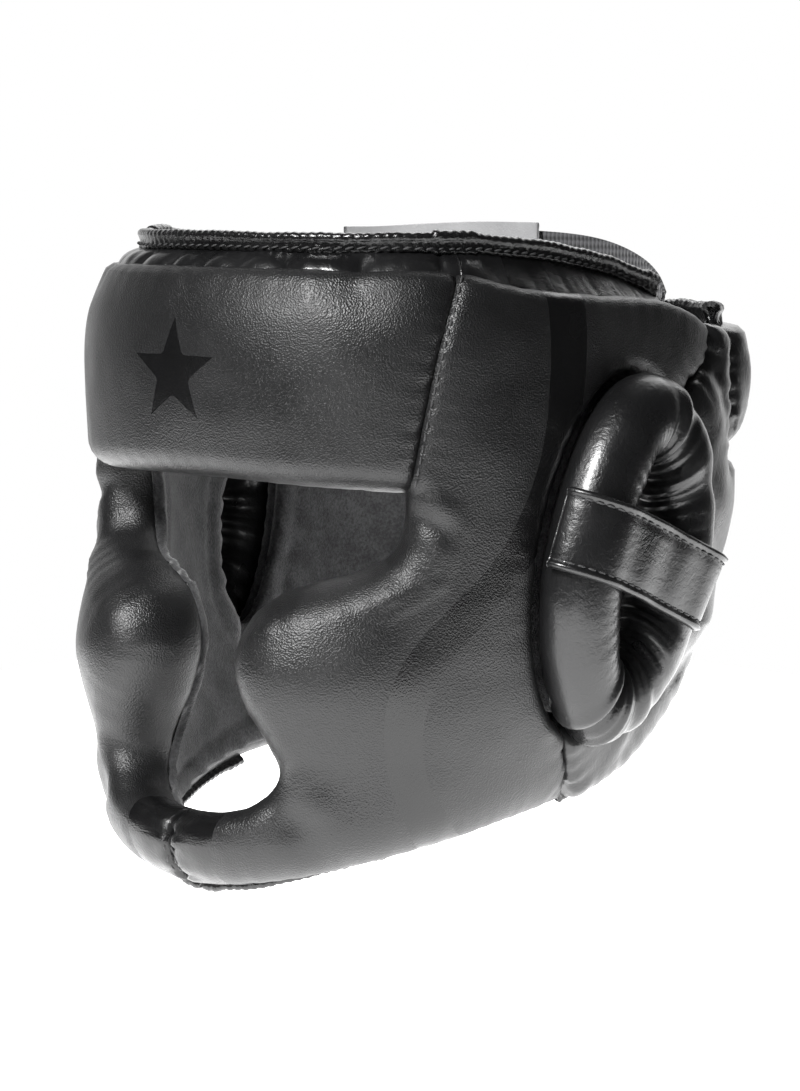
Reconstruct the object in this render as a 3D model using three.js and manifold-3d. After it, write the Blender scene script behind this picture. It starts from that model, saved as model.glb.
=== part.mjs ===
// Boxing headgear: forehead, side, cheek, chin and back pads, roll ear guards and closing straps.
// Millimetres. +X is the wearer's left, -Y is the face, +Z is up. The origin is inside the head, at the ears.
import * as THREE from "three";
import { mergeVertices } from "three/addons/utils/BufferGeometryUtils.js";
import Module from "manifold-3d";

const wasm = await Module();
wasm.setup();

// ---------------------------------------------------------------- driving dimensions

// The outer surface of the pads is a rounded oval at each height. These are its half lengths to the front,
// side and back, one for every FORM_STEP of height from FORM_LOW up.
const FORM_LOW = -120;
const FORM_STEP = 30;
const FORM_FRONT = [119, 121, 112, 107, 108, 112, 115, 114, 102];
const FORM_SIDE = [72, 86, 96, 102, 105, 105.5, 105, 103, 94];
const FORM_BACK = [96, 101, 106, 112, 120, 128, 136, 134, 118];
const FRONT_POWER = 2.4;
const BACK_POWER = 2.7;

// The pads are cut flat, in degrees round the head and millimetres of height, and then wrapped on the form.
const MM_PER_DEGREE = 1.9;
const LONGEST_ROUND = 22;
const LONGEST_UP = 32;
const MOST_SWEEPS = 30;
const OUTLINE_STEP = 15;

const PAD_THICK = 22;
const WING_THICK = 18;
const LEATHER = 1.4;
const LAYER_GAP = 1;
const LINING_GAP = 1.9;
const LINING_THICK = 1.2;
const SEAM_GAP = 0.8;

// Where the outer surface swells beyond the form. A swell is narrower towards the face than away from it.
const SWELLS = [
  { angle: 23, height: -32, towardsFace: 27, away: 42, tall: 30, rise: 15 },
  { angle: 180, height: 60, towardsFace: 80, away: 80, tall: 24, rise: 4 },
];

// The ear guard is a roll round an oval opening that leans back.
const EAR_ANGLE = 90.5;
const EAR_HEIGHT = 5;
const EAR_LEAN = 12;
const ROLL_RADIUS = 15;
const OVAL_SEGMENTS = 14;
const ROLL_ACROSS = 23.6;
const ROLL_UP = 50.6;
const ROLL_LIFT = 4;
const ROLL_STEPS = 26;
const EAR_STRAP_WIDTH = 29;
const EAR_STRAP_THICK = 2.2;
const EAR_STRAP_SLOPE = 12;
const INNER_EAR = { from: -3, to: 11 };

const STRAP_THICK = 2;
const PATCH_THICK = 1;
const TOUCH_GAP = 0.4;

// Crown rim: how far in from the pads' outer surface, and how high, at [degrees, height].
const CROWN_LEVEL = 100;
const CROWN_IN = 18;
const CROWN_RIM = [[0, 115], [60, 114.5], [85, 110.5], [105, 105], [122, 97]];
const PAD_TOP = [[0, 110], [54.5, 109.2], [65.6, 103.7], [85.6, 99.7], [108, 96.2], [122, 88.5]];
const CROWN_JOINT = 55;
const CROWN_END = 121.5;

const CLOSURE = { from: 151, patch: 199, to: 216, low: -18, high: 26, out: 3.6 };
const CROWN_STRAP_WIDE = 22;
const CHIN_STRAP = { wide: 22, at: -56 };

// ---------------------------------------------------------------- outlines, as [degrees, height]

const FOREHEAD_SEAM = [[44.5, 30], [47.5, 60], [50.5, 85], [54.5, 109]];
const SIDE_TOP = [[65.6, 103.5], [85.6, 99.5], [108, 96], [123, 87]];
const REAR_SEAM = [[121, 72], [110, 58], [96, 30], [86, -20], [82.5, -64], [94, -91]];
const JAW_RIM = [[77, -94], [50, -102], [26, -109], [0.4, -113]];
const FACE_EDGE = [
  [8, -80], [15.5, -76], [20, -67], [18, -58], [13, -44], [10.5, -27], [14.5, -11], [24, -3], [34, 1.5],
  [41.5, 8], [44, 18],
];
const NECK_RIM = [[110, -79], [123, -60], [134, -43], [148, -38], [160, -36]];

const WING_REAR = [[162, -30], [162, 25], [158, 31.5]];
const PAD_FRONT = [[131.5, 50], [131.5, 70], [132.5, 84]];

const outlines = {
  forehead: [
    [[-44.5, 30]], [[0, 32.5], [44.5, 30]], FOREHEAD_SEAM.slice(1),
    [[0, 110], [-54.5, 109]], mirrorPoints(FOREHEAD_SEAM).reverse().slice(1, 3),
  ],
  side: [
    [[0.4, -81]], FACE_EDGE, shift(FOREHEAD_SEAM, 0.5), SIDE_TOP, REAR_SEAM, JAW_RIM,
  ],
  wing: [
    [[94.6, -90]], NECK_RIM, WING_REAR, [[133.5, 32.5]], PAD_FRONT, [[123.6, 86]],
    shift(REAR_SEAM.slice(0, -1), 0.5),
  ],
  back: [
    [[135, 34]], [[180, 33.5], [225, 34]], [[227.6, 50], [227.6, 70], [226, 83.5]],
    [[180, 84], [134, 83.5]], [[132.4, 70], [132.4, 50]],
  ],
};

function mirrorPoints(points) {
  return points.map(([angle, height]) => [-angle, height]);
}

function shift(points, degrees) {
  return points.map(([angle, height]) => [angle + degrees, height]);
}

// ---------------------------------------------------------------- the head form

function blendAt(values, height) {
  const last = values.length - 1;
  const t = THREE.MathUtils.clamp((height - FORM_LOW) / FORM_STEP, 0, last - 1e-6);
  const i = Math.floor(t);
  const f = t - i;
  const [a, b, c, d] = [i - 1, i, i + 1, i + 2].map((k) => values[THREE.MathUtils.clamp(k, 0, last)]);
  return b + 0.5 * f * (c - a + f * (2 * a - 5 * b + 4 * c - d + f * (3 * (b - c) + d - a)));
}

function formPoint(degrees, height) {
  const angle = THREE.MathUtils.degToRad(degrees);
  const ahead = Math.cos(angle);
  const reach = blendAt(ahead > 0 ? FORM_FRONT : FORM_BACK, height);
  const power = ahead > 0 ? FRONT_POWER : BACK_POWER;
  const side = Math.abs(Math.sin(angle)) / blendAt(FORM_SIDE, height);
  const radius = (side ** power + (Math.abs(ahead) / reach) ** power) ** (-1 / power);
  return new THREE.Vector3(Math.sin(angle) * radius, -ahead * radius, height);
}

function formNormal(degrees, height) {
  const round = formPoint(degrees + 1, height).sub(formPoint(degrees - 1, height));
  const up = formPoint(degrees, height + 1).sub(formPoint(degrees, height - 1));
  return round.cross(up).normalize();
}

function swell(degrees, height) {
  const rises = SWELLS.map(({ angle, height: middle, towardsFace, away, tall, rise }) => {
    const round = (Math.abs(degrees) - angle) * MM_PER_DEGREE;
    const across = round / (round < 0 ? towardsFace : away);
    return rise * Math.exp(-(across ** 2) - ((height - middle) / tall) ** 2);
  });
  return Math.max(...rises);
}

// The point `out` mm outside the form (negative is inside). The swell fades out at the pad's inner face.
function onForm(degrees, height, out) {
  const share = THREE.MathUtils.clamp(1 + out / PAD_THICK, 0, 1);
  const lift = out + share * swell(degrees, height);
  return formPoint(degrees, height).addScaledVector(formNormal(degrees, height), lift);
}

// ---------------------------------------------------------------- flat pattern pieces

// Joins the stretches into one closed shape. A stretch of one point is a straight line to it, and a longer
// one is a smooth curve from the last point through all of its own.
function shapeOf(stretches) {
  const flat = stretches.map((points) => points.map(([d, h]) => new THREE.Vector3(d * MM_PER_DEGREE, h, 0)));
  const line = [flat[0][0]];
  for (const points of flat.slice(1)) {
    const curve = new THREE.CatmullRomCurve3([line.at(-1), ...points]);
    const steps = Math.max(points.length, Math.round(curve.getLength() / OUTLINE_STEP));
    line.push(...curve.getSpacedPoints(points.length === 1 ? 1 : steps).slice(1));
  }
  return new THREE.Shape(line.map((point) => new THREE.Vector2(point.x, point.y)));
}

function solidOf(geometry) {
  const bare = new THREE.BufferGeometry().setAttribute("position", geometry.getAttribute("position"));
  const merged = mergeVertices(geometry.index ? bare.setIndex(geometry.index) : bare, 1e-3);
  const corners = merged.index.array;
  const kept = [];
  for (let i = 0; i < corners.length; i += 3) {
    const [a, b, c] = corners.slice(i, i + 3);
    if (a !== b && b !== c && c !== a) kept.push(a, b, c);
  }
  return new wasm.Manifold(
    new wasm.Mesh({
      numProp: 3,
      vertProperties: merged.attributes.position.array,
      triVerts: new Uint32Array(kept),
    }),
  );
}

function geometryOf(solid) {
  const mesh = solid.getMesh();
  const geometry = new THREE.BufferGeometry();
  geometry.setAttribute("position", new THREE.BufferAttribute(new Float32Array(mesh.vertProperties), 3));
  return geometry.setIndex(new THREE.BufferAttribute(mesh.triVerts, 1));
}

// A flat slab of the outline, pulled in by `inset`, from depth `low` to depth `high`.
function slab(outline, inset, low, high) {
  const geometry = new THREE.ExtrudeGeometry(shapeOf(outline), {
    depth: high - low,
    bevelThickness: 0,
    bevelSize: 0,
    bevelOffset: -inset,
    bevelSegments: 1,
  });
  geometry.translate(0, 0, low);
  return solidOf(geometry);
}

function earOval(grow, low, high) {
  const oval = new THREE.Shape();
  oval.absellipse(0, 0, ROLL_ACROSS + grow, ROLL_UP + grow, 0, 2 * Math.PI, false, 0);
  const options = { depth: high - low, bevelEnabled: false, curveSegments: OVAL_SEGMENTS };
  const geometry = new THREE.ExtrudeGeometry(oval, options);
  geometry.rotateZ(-THREE.MathUtils.degToRad(EAR_LEAN));
  geometry.translate(EAR_ANGLE * MM_PER_DEGREE, EAR_HEIGHT, low);
  return solidOf(geometry);
}

function block(fromDegrees, toDegrees, low, high) {
  const wide = (toDegrees - fromDegrees) * MM_PER_DEGREE;
  const geometry = new THREE.BoxGeometry(wide, high - low, 4 * PAD_THICK);
  geometry.translate(fromDegrees * MM_PER_DEGREE + wide / 2, (low + high) / 2, 0);
  return solidOf(geometry);
}

// A point of the flat pattern, wrapped on the form.
function wrapPoint(flat) {
  return onForm(flat.x / MM_PER_DEGREE, flat.y, flat.z);
}

// Edges are kept shorter round the head, where the form bends most, than up it.
function isCoarse(a, b) {
  return Math.abs(a.x - b.x) > LONGEST_ROUND || Math.abs(a.y - b.y) > LONGEST_UP;
}

// Splits each coarse edge, on both of its triangles at once, until none is left. The triangles of each flat
// face are evened out before every round, so that few are long and thin.
function refined(geometry) {
  const points = Array.from(geometry.attributes.position.array);
  const at = (i) => new THREE.Vector3(points[3 * i], points[3 * i + 1], points[3 * i + 2]);
  let triangles = evened(Array.from(geometry.index.array), at);
  for (let before = 0; before < triangles.length; ) {
    before = triangles.length;
    const middles = new Map();
    const middle = (a, b) => {
      if (!isCoarse(at(a), at(b))) return null;
      const key = a < b ? `${a} ${b}` : `${b} ${a}`;
      if (!middles.has(key)) {
        const half = at(a).add(at(b)).multiplyScalar(0.5);
        middles.set(key, points.push(half.x, half.y, half.z) / 3 - 1);
      }
      return middles.get(key);
    };
    const next = [];
    for (let i = 0; i < before; i += 3) next.push(...splitTriangle(triangles.slice(i, i + 3), middle, at));
    triangles = evened(next, at);
  }
  const fine = new THREE.BufferGeometry();
  fine.setAttribute("position", new THREE.Float32BufferAttribute(points, 3));
  return fine.setIndex(triangles);
}

// Swaps the diagonal of two triangles in one plane wherever the other diagonal makes them less thin.
function evened(triangles, at) {
  for (let sweep = 0, swapped = 1; swapped > 0 && sweep < MOST_SWEEPS; sweep++) {
    swapped = 0;
    const owner = new Map();
    for (let i = 0; i < triangles.length; i++) {
      const start = i - (i % 3);
      const [a, b, c] = [triangles[i], triangles[start + ((i + 1) % 3)], triangles[start + ((i + 2) % 3)]];
      owner.set(`${a} ${b}`, { start, third: c });
    }
    const done = new Set();
    for (const [edge, one] of owner) {
      const [a, b] = edge.split(" ").map(Number);
      const two = owner.get(`${b} ${a}`);
      if (a > b || done.has(one.start) || done.has(two.start)) continue;
      const [c, d] = [one.third, two.third];
      if (!wantsSwap(at(a), at(b), at(c), at(d))) continue;
      triangles.splice(one.start, 3, a, d, c);
      triangles.splice(two.start, 3, d, b, c);
      done.add(one.start).add(two.start);
      swapped++;
    }
  }
  return triangles;
}

function wantsSwap(a, b, c, d) {
  const oneSide = new THREE.Triangle(a, b, c);
  const otherSide = new THREE.Triangle(b, a, d);
  const flat = oneSide.getNormal(new THREE.Vector3()).dot(otherSide.getNormal(new THREE.Vector3())) > 0.9999;
  const facing = a.clone().sub(c).angleTo(b.clone().sub(c)) + a.clone().sub(d).angleTo(b.clone().sub(d));
  return flat && facing > Math.PI + 1e-3;
}

function splitTriangle([a, b, c], middle, at) {
  const [ab, bc, ca] = [middle(a, b), middle(b, c), middle(c, a)];
  const cut = [ab, bc, ca].filter((m) => m !== null).length;
  if (cut === 0) return [a, b, c];
  if (cut === 3) return [a, ab, ca, ab, b, bc, ca, bc, c, ab, bc, ca];
  if (cut === 1) {
    if (ab !== null) return [a, ab, c, ab, b, c];
    if (bc !== null) return [a, b, bc, a, bc, c];
    return [a, b, ca, ca, b, c];
  }
  // Two cut edges: turn the triangle so that its whole edge is a-b, then join the shorter diagonal.
  const fromB = bc === null ? [b, c, a, ca, ab] : [c, a, b, ab, bc];
  const [p, q, r, qr, rp] = ab === null ? [a, b, c, bc, ca] : fromB;
  const near = at(p).distanceTo(at(qr)) < at(q).distanceTo(at(rp));
  return near ? [p, q, qr, p, qr, rp, rp, qr, r] : [p, q, rp, q, qr, rp, rp, qr, r];
}

// Refines a flat solid and wraps it on the form.
function wrapped(solid) {
  const geometry = refined(geometryOf(solid));
  const position = geometry.attributes.position;
  for (let i = 0; i < position.count; i++) {
    const point = wrapPoint(new THREE.Vector3().fromBufferAttribute(position, i));
    position.setXYZ(i, point.x, point.y, point.z);
  }
  return geometry;
}

function mirrored(geometry) {
  const other = geometry.clone();
  const position = other.attributes.position;
  for (let i = 0; i < position.count; i++) position.setX(i, -position.getX(i));
  const corners = other.index.array;
  for (let i = 0; i < corners.length; i += 3) [corners[i], corners[i + 1]] = [corners[i + 1], corners[i]];
  return other;
}

// ---------------------------------------------------------------- bars lofted through sections

// A bar through rings of points, each ring the same corners in the same order. A closed bar joins its ends.
function lofted(rings, closed = false) {
  const corners = rings[0].length;
  const points = rings.flat().flatMap((p) => [p.x, p.y, p.z]);
  const triangles = [];
  const spans = closed ? rings.length : rings.length - 1;
  for (let i = 0; i < spans; i++) {
    const here = i * corners;
    const next = ((i + 1) % rings.length) * corners;
    for (let k = 0; k < corners; k++) {
      const other = (k + 1) % corners;
      triangles.push(here + k, here + other, next + k, here + other, next + other, next + k);
    }
  }
  if (!closed) {
    const end = (rings.length - 1) * corners;
    for (let k = 1; k < corners - 1; k++) triangles.push(0, k + 1, k, end, end + k, end + k + 1);
  }
  const geometry = new THREE.BufferGeometry();
  geometry.setAttribute("position", new THREE.Float32BufferAttribute(points, 3));
  geometry.setIndex(triangles);
  return volumeOf(geometry) < 0 ? turnedInsideOut(geometry) : geometry;
}

function volumeOf(geometry) {
  const position = geometry.attributes.position;
  const corner = (i) => new THREE.Vector3().fromBufferAttribute(position, geometry.index.array[i]);
  let six = 0;
  for (let i = 0; i < geometry.index.count; i += 3) six += corner(i).dot(corner(i + 1).cross(corner(i + 2)));
  return six / 6;
}

function turnedInsideOut(geometry) {
  const corners = geometry.index.array;
  for (let i = 0; i < corners.length; i += 3) [corners[i], corners[i + 1]] = [corners[i + 1], corners[i]];
  return geometry;
}

// Values spread evenly from first to last, both included.
function spread(first, last, steps) {
  return Array.from({ length: steps + 1 }, (_, i) => first + ((last - first) * i) / steps);
}

// The height at `angle` on a line of [degrees, height] points.
function heightAt(points, angle) {
  const next = Math.max(1, points.findIndex(([d]) => d >= angle));
  const [[d0, h0], [d1, h1]] = [points[next - 1], points[next]];
  return h0 + ((h1 - h0) * (angle - d0)) / (d1 - d0);
}

// A bar round the head. corners(angle) lists its section as [out, height].
function hoop(fromDegrees, toDegrees, steps, corners) {
  return lofted(
    spread(fromDegrees, toDegrees, steps).map((angle) =>
      corners(angle).map(([out, height]) => onForm(angle, height, out)),
    ),
  );
}

// ---------------------------------------------------------------- materials

const finishes = {
  matte_leather: { color: 0x1d1d1e, roughness: 0.55, metalness: 0 },
  gloss_leather: { color: 0x121213, roughness: 0.25, metalness: 0 },
  suede: { color: 0x2b2b2d, roughness: 0.95, metalness: 0 },
  foam: { color: 0x6f6f72, roughness: 0.9, metalness: 0 },
  binding: { color: 0x0d0d0e, roughness: 0.35, metalness: 0 },
  webbing: { color: 0x303033, roughness: 0.85, metalness: 0 },
  hook_and_loop: { color: 0x19191a, roughness: 0.95, metalness: 0 },
};

const headgear = new THREE.Group();

function add(name, geometry, finish) {
  const mesh = new THREE.Mesh(geometry, new THREE.MeshStandardMaterial(finishes[finish]));
  mesh.name = name;
  headgear.add(mesh);
}

function addPair(name, geometry, finish) {
  add(`${name}_left`, geometry, finish);
  add(`${name}_right`, mirrored(geometry), finish);
}

// ---------------------------------------------------------------- padded panels

// The leather is a tray that wraps the foam's outer face and edges.
function coverOf(outline, thick, hole) {
  const whole = slab(outline, 0, -thick, 0);
  const room = slab(outline, LEATHER, -2 * PAD_THICK, -LEATHER);
  if (!hole) return whole.subtract(room);
  const opening = earOval(hole, -2 * PAD_THICK, PAD_THICK);
  const wider = earOval(hole + LEATHER, -2 * PAD_THICK, PAD_THICK);
  return whole.subtract(opening).subtract(room.subtract(wider));
}

function foamOf(outline, thick, hole) {
  const inset = LEATHER + LAYER_GAP;
  const foam = slab(outline, inset, -thick, -inset);
  return hole ? foam.subtract(earOval(hole + inset, -2 * PAD_THICK, PAD_THICK)) : foam;
}

function liningOf(outline, thick, hole) {
  const outer = -thick - LINING_GAP;
  const lining = slab(outline, SEAM_GAP, outer - LINING_THICK, outer);
  return hole ? lining.subtract(earOval(hole, -3 * PAD_THICK, PAD_THICK)) : lining;
}

const ROLL_SEAT = ROLL_RADIUS + SEAM_GAP;
const LINING_HOLE = -7;

add("forehead_cover", wrapped(coverOf(outlines.forehead, PAD_THICK)), "matte_leather");
add("forehead_foam", wrapped(foamOf(outlines.forehead, PAD_THICK)), "foam");
add("forehead_lining", wrapped(liningOf(outlines.forehead, PAD_THICK)), "suede");

const sideFoam = foamOf(outlines.side, PAD_THICK, ROLL_SEAT);
const CHEEK_TOP = 44;
const CHEEK_BACK = 42;
const CHIN_TOP = -66;
const CHIN_BACK = 58;
const FOAM_GAP = 2;
addPair("side_cover", wrapped(coverOf(outlines.side, PAD_THICK, ROLL_SEAT)), "matte_leather");
const cheekFoam = sideFoam.intersect(block(0, CHEEK_BACK, CHIN_TOP + FOAM_GAP, CHEEK_TOP));
const chinFoam = sideFoam.intersect(block(0, CHIN_BACK, -130, CHIN_TOP));
const templeFoam = sideFoam
  .subtract(block(-5, CHEEK_BACK + 0.8, CHIN_TOP - FOAM_GAP, 130))
  .subtract(block(-5, CHIN_BACK + 0.8, -130, CHIN_TOP + FOAM_GAP));
addPair("temple_foam", wrapped(templeFoam), "foam");
addPair("cheek_foam", wrapped(cheekFoam), "foam");
addPair("chin_foam", wrapped(chinFoam), "foam");
addPair("side_lining", wrapped(liningOf(outlines.side, PAD_THICK, LINING_HOLE)), "suede");

addPair("wing_cover", wrapped(coverOf(outlines.wing, WING_THICK, ROLL_SEAT)), "gloss_leather");
addPair("wing_foam", wrapped(foamOf(outlines.wing, WING_THICK, ROLL_SEAT)), "foam");
addPair("wing_lining", wrapped(liningOf(outlines.wing, WING_THICK, LINING_HOLE)), "suede");

add("back_cover", wrapped(coverOf(outlines.back, PAD_THICK)), "gloss_leather");
add("back_foam", wrapped(foamOf(outlines.back, PAD_THICK)), "foam");
add("back_lining", wrapped(liningOf(outlines.back, PAD_THICK)), "suede");

// ---------------------------------------------------------------- ear guards

// The point of the roll's middle line at `turn` round the opening, as flat [degrees, height].
function rollLine(turn, grow = 0) {
  const across = (ROLL_ACROSS + grow) * Math.cos(turn);
  const up = (ROLL_UP + grow) * Math.sin(turn);
  const lean = THREE.MathUtils.degToRad(EAR_LEAN);
  const round = across * Math.cos(lean) + up * Math.sin(lean);
  return [EAR_ANGLE + round / MM_PER_DEGREE, EAR_HEIGHT - across * Math.sin(lean) + up * Math.cos(lean)];
}

// The ring of section points at `turn`. corners lists [distance from the opening's middle, out].
function rollSection(turn, corners) {
  return corners.map(([away, out]) => {
    const [degrees, height] = rollLine(turn, away);
    return onForm(degrees, height, out);
  });
}

function arcCorners(radius, fromDegrees, toDegrees, steps) {
  return spread(fromDegrees, toDegrees, steps).map((degrees) => {
    const angle = THREE.MathUtils.degToRad(degrees);
    return [radius * Math.cos(angle), ROLL_LIFT + radius * Math.sin(angle)];
  });
}

function ring(corners) {
  const turns = spread(0, 2 * Math.PI, ROLL_STEPS).slice(0, -1);
  return lofted(turns.map((turn) => rollSection(turn, corners)), true);
}

// The roll's leather is open along its seam, on the side that faces the head.
const ROLL_SEAM = 24;
const rollCover = [
  ...arcCorners(ROLL_RADIUS, -90 + ROLL_SEAM, 270 - ROLL_SEAM, 8),
  ...arcCorners(ROLL_RADIUS - LEATHER, 270 - ROLL_SEAM, -90 + ROLL_SEAM, 8),
];
const rollFoam = arcCorners(ROLL_RADIUS - LEATHER - LAYER_GAP, 0, 360, 9).slice(0, -1);
addPair("ear_roll_cover", ring(rollCover), "gloss_leather");
addPair("ear_roll_foam", ring(rollFoam), "foam");

// A thin cushion fills the space between the roll and the lining.
const innerTop = ROLL_LIFT - ROLL_RADIUS - LAYER_GAP;
const innerEar = [
  [INNER_EAR.from, innerTop], [INNER_EAR.from, -WING_THICK + 1], [INNER_EAR.to, -WING_THICK + 1],
  [INNER_EAR.to, innerTop],
];
addPair("ear_inner_cushion", ring(innerEar), "foam");

// The ear strap crosses the opening over both rolls. Its line lists [across, out] from front to rear.
const strapOut = ROLL_LIFT + ROLL_RADIUS + TOUCH_GAP + 0.6;
const strapEnd = ROLL_ACROSS + 8.5;
const strapLine = [
  [-strapEnd, strapOut - 2.2], [-ROLL_ACROSS - 3, strapOut], [0, strapOut], [ROLL_ACROSS + 3, strapOut],
  [strapEnd, strapOut - 2.2],
];
function earStrapSection([across, out]) {
  const height = EAR_HEIGHT - 1 - (across / strapEnd) * EAR_STRAP_SLOPE;
  const lean = Math.tan(THREE.MathUtils.degToRad(EAR_LEAN));
  const corners = [[-0.5, 0], [0.5, 0], [0.5, EAR_STRAP_THICK], [-0.5, EAR_STRAP_THICK]];
  return corners.map(([side, over]) => {
    const up = height + side * EAR_STRAP_WIDTH;
    const round = across + (up - EAR_HEIGHT) * lean;
    return onForm(EAR_ANGLE + round / MM_PER_DEGREE, up, out + over);
  });
}
addPair("ear_strap", lofted(strapLine.map(earStrapSection)), "gloss_leather");

// ---------------------------------------------------------------- crown

// A point `inward` of the crown's outline, at its own height.
function crownPoint(angle, inward, height) {
  const edge = formPoint(angle, CROWN_LEVEL).setZ(0);
  return edge.setLength(edge.length() - inward).setZ(height);
}

function crownHoop(from, to, steps, corners) {
  return lofted(
    spread(from, to, steps).map((angle) => {
      const rim = heightAt(CROWN_RIM, Math.abs(angle));
      const top = heightAt(PAD_TOP, Math.abs(angle)) + 1;
      return corners(rim, top).map(([inward, height]) => crownPoint(angle, inward, height));
    }),
  );
}

// The gathered leather between the pads' tops and the bound rim, and the binding over that rim.
const gathered = (rim, top) => [[4, top], [CROWN_IN - 2, rim], [CROWN_IN + 1, rim], [10, top]];
const bound = (rim) => [
  [CROWN_IN - 4, rim + TOUCH_GAP], [CROWN_IN - 4, rim + 5.5], [CROWN_IN + 2, rim + 5.5],
  [CROWN_IN + 2, rim + TOUCH_GAP],
];

add("crown_band_front", crownHoop(-CROWN_JOINT, CROWN_JOINT, 12, gathered), "gloss_leather");
addPair("crown_band", crownHoop(CROWN_JOINT + 0.5, CROWN_END, 8, gathered), "gloss_leather");
add("crown_binding_front", crownHoop(-CROWN_JOINT, CROWN_JOINT, 12, bound), "binding");
addPair("crown_binding", crownHoop(CROWN_JOINT + 0.5, CROWN_END, 8, bound), "binding");

const BACK_RIM = 84.8;
const backBindingCorners = () => [[-15, BACK_RIM], [-4, BACK_RIM], [-5, BACK_RIM + 6], [-14, BACK_RIM + 6]];
add("back_binding", hoop(133.5, 226.5, 12, backBindingCorners), "binding");

// The upper strap crosses behind the crown: leather from the right, webbing from the left, overlapping.
function crownStrap(path, middle, out, thick) {
  const low = middle - CROWN_STRAP_WIDE / 2;
  const high = middle + CROWN_STRAP_WIDE / 2;
  return lofted(
    path.map(([x, y, drop]) => {
      const outward = new THREE.Vector3(x / 1.6, y - 20, 0).normalize();
      const inner = new THREE.Vector3(x, y, -drop).addScaledVector(outward, out);
      const outer = inner.clone().addScaledVector(outward, thick);
      return [
        inner.clone().setZ(low - drop), inner.clone().setZ(high - drop),
        outer.clone().setZ(high - drop), outer.clone().setZ(low - drop),
      ];
    }),
  );
}
const FLAP_ARC = [[-12, 93, 0], [-42, 90, 0], [-64, 82, 1], [-78, 70, 2], [-85, 58, 2]];
const WEBBING_ARC = [
  [56, 78, 20], [45, 85, 12], [30, 90, 6], [12, 93, 2], [-12, 93, 0], [-42, 90, 0], [-64, 82, 1],
];
const WEBBING_HEIGHT = 105.5;
const FLAP_HEIGHT = 109;
const hookLift = STRAP_THICK + TOUCH_GAP;
const webbingLift = hookLift + PATCH_THICK + TOUCH_GAP;
const crownPatch = FLAP_ARC.slice(0, 3);
add("crown_flap", crownStrap(FLAP_ARC, FLAP_HEIGHT, 0, STRAP_THICK), "gloss_leather");
add("crown_webbing", crownStrap(WEBBING_ARC, WEBBING_HEIGHT, webbingLift, STRAP_THICK), "webbing");
add("crown_hook_patch", crownStrap(crownPatch, WEBBING_HEIGHT, hookLift, PATCH_THICK), "hook_and_loop");

// ---------------------------------------------------------------- rims and lower straps

// A bar that follows an edge of the flat pattern, `beyond` it on the way (round, up) and at depth `out`.
function edgeBar(points, half, out) {
  const flat = new THREE.CatmullRomCurve3(points.map(([d, h]) => new THREE.Vector3(d * MM_PER_DEGREE, h, 0)));
  const steps = Math.round(flat.getLength() / OUTLINE_STEP);
  return lofted(
    flat.getSpacedPoints(steps).map((p) =>
      [[-half, -half], [-half, half], [half, half], [half, -half]].map(([up, more]) =>
        onForm(p.x / MM_PER_DEGREE, p.y + up, out + more),
      ),
    ),
  );
}
const BINDING_HALF = 2.2;
const rimBelow = (points) => points.map(([d, h]) => [d, h - BINDING_HALF - 1.4]);
addPair("jaw_binding", edgeBar(rimBelow(JAW_RIM), BINDING_HALF, -PAD_THICK + 4), "binding");
const neckLine = rimBelow([[94, -91], ...NECK_RIM.slice(0, -1)]);
addPair("neck_binding", edgeBar(neckLine, BINDING_HALF, -WING_THICK + 4), "binding");

// The closure strap is sewn to the left wing and grips the loop patch on the right wing.
function closureBand(from, to, steps, inset, out, thick) {
  const low = CLOSURE.low + inset;
  const high = CLOSURE.high - inset;
  return hoop(from, to, steps, () => [[out, low], [out, high], [out + thick, high], [out + thick, low]]);
}
const HOOK_PATCH_INSET = 3;
const hookOut = CLOSURE.out - TOUCH_GAP - PATCH_THICK;
const loopOut = hookOut - TOUCH_GAP - PATCH_THICK;
const closureStrap = closureBand(CLOSURE.from, CLOSURE.to, 10, 0, CLOSURE.out, STRAP_THICK);
const closureHooks = closureBand(CLOSURE.patch, CLOSURE.to - 2, 3, HOOK_PATCH_INSET, hookOut, PATCH_THICK);
const closureLoops = closureBand(CLOSURE.patch, CLOSURE.to + 10, 5, 0, loopOut, PATCH_THICK);
add("closure_strap", closureStrap, "gloss_leather");
add("closure_hook_patch", closureHooks, "hook_and_loop");
add("closure_loop_patch", closureLoops, "hook_and_loop");

// The chin strap is sewn to the right jaw and grips the tab on the left one, under the chin.
function chinBand(path, drop, thick, inset = 0) {
  const half = CHIN_STRAP.wide / 2 - inset;
  const [near, far] = [CHIN_STRAP.at - half, CHIN_STRAP.at + half];
  return lofted(
    path.map(([x, z]) => {
      const top = z - drop;
      return [
        new THREE.Vector3(x, near, top), new THREE.Vector3(x, far, top),
        new THREE.Vector3(x, far, top - thick), new THREE.Vector3(x, near, top - thick),
      ];
    }),
  );
}
const CHIN_LINE = [[-46, -102], [-36, -101], [-15, -100], [15, -100], [36, -101], [46, -102]];
const chinHook = STRAP_THICK + TOUCH_GAP;
const chinLoop = chinHook + PATCH_THICK + TOUCH_GAP;
const chinOuter = chinLoop + PATCH_THICK + TOUCH_GAP;
add("chin_tab", chinBand(CHIN_LINE.slice(3), 0, STRAP_THICK), "gloss_leather");
add("chin_loop_patch", chinBand(CHIN_LINE.slice(3, 5), chinHook, PATCH_THICK, 2), "hook_and_loop");
add("chin_hook_patch", chinBand(CHIN_LINE.slice(3, 5), chinLoop, PATCH_THICK, 2), "hook_and_loop");
add("chin_strap", chinBand(CHIN_LINE.slice(0, 5), chinOuter, STRAP_THICK), "gloss_leather");

export default headgear;
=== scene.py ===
import math

import bpy
import numpy as np
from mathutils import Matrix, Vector, noise
from mathutils.geometry import delaunay_2d_cdt


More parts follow.
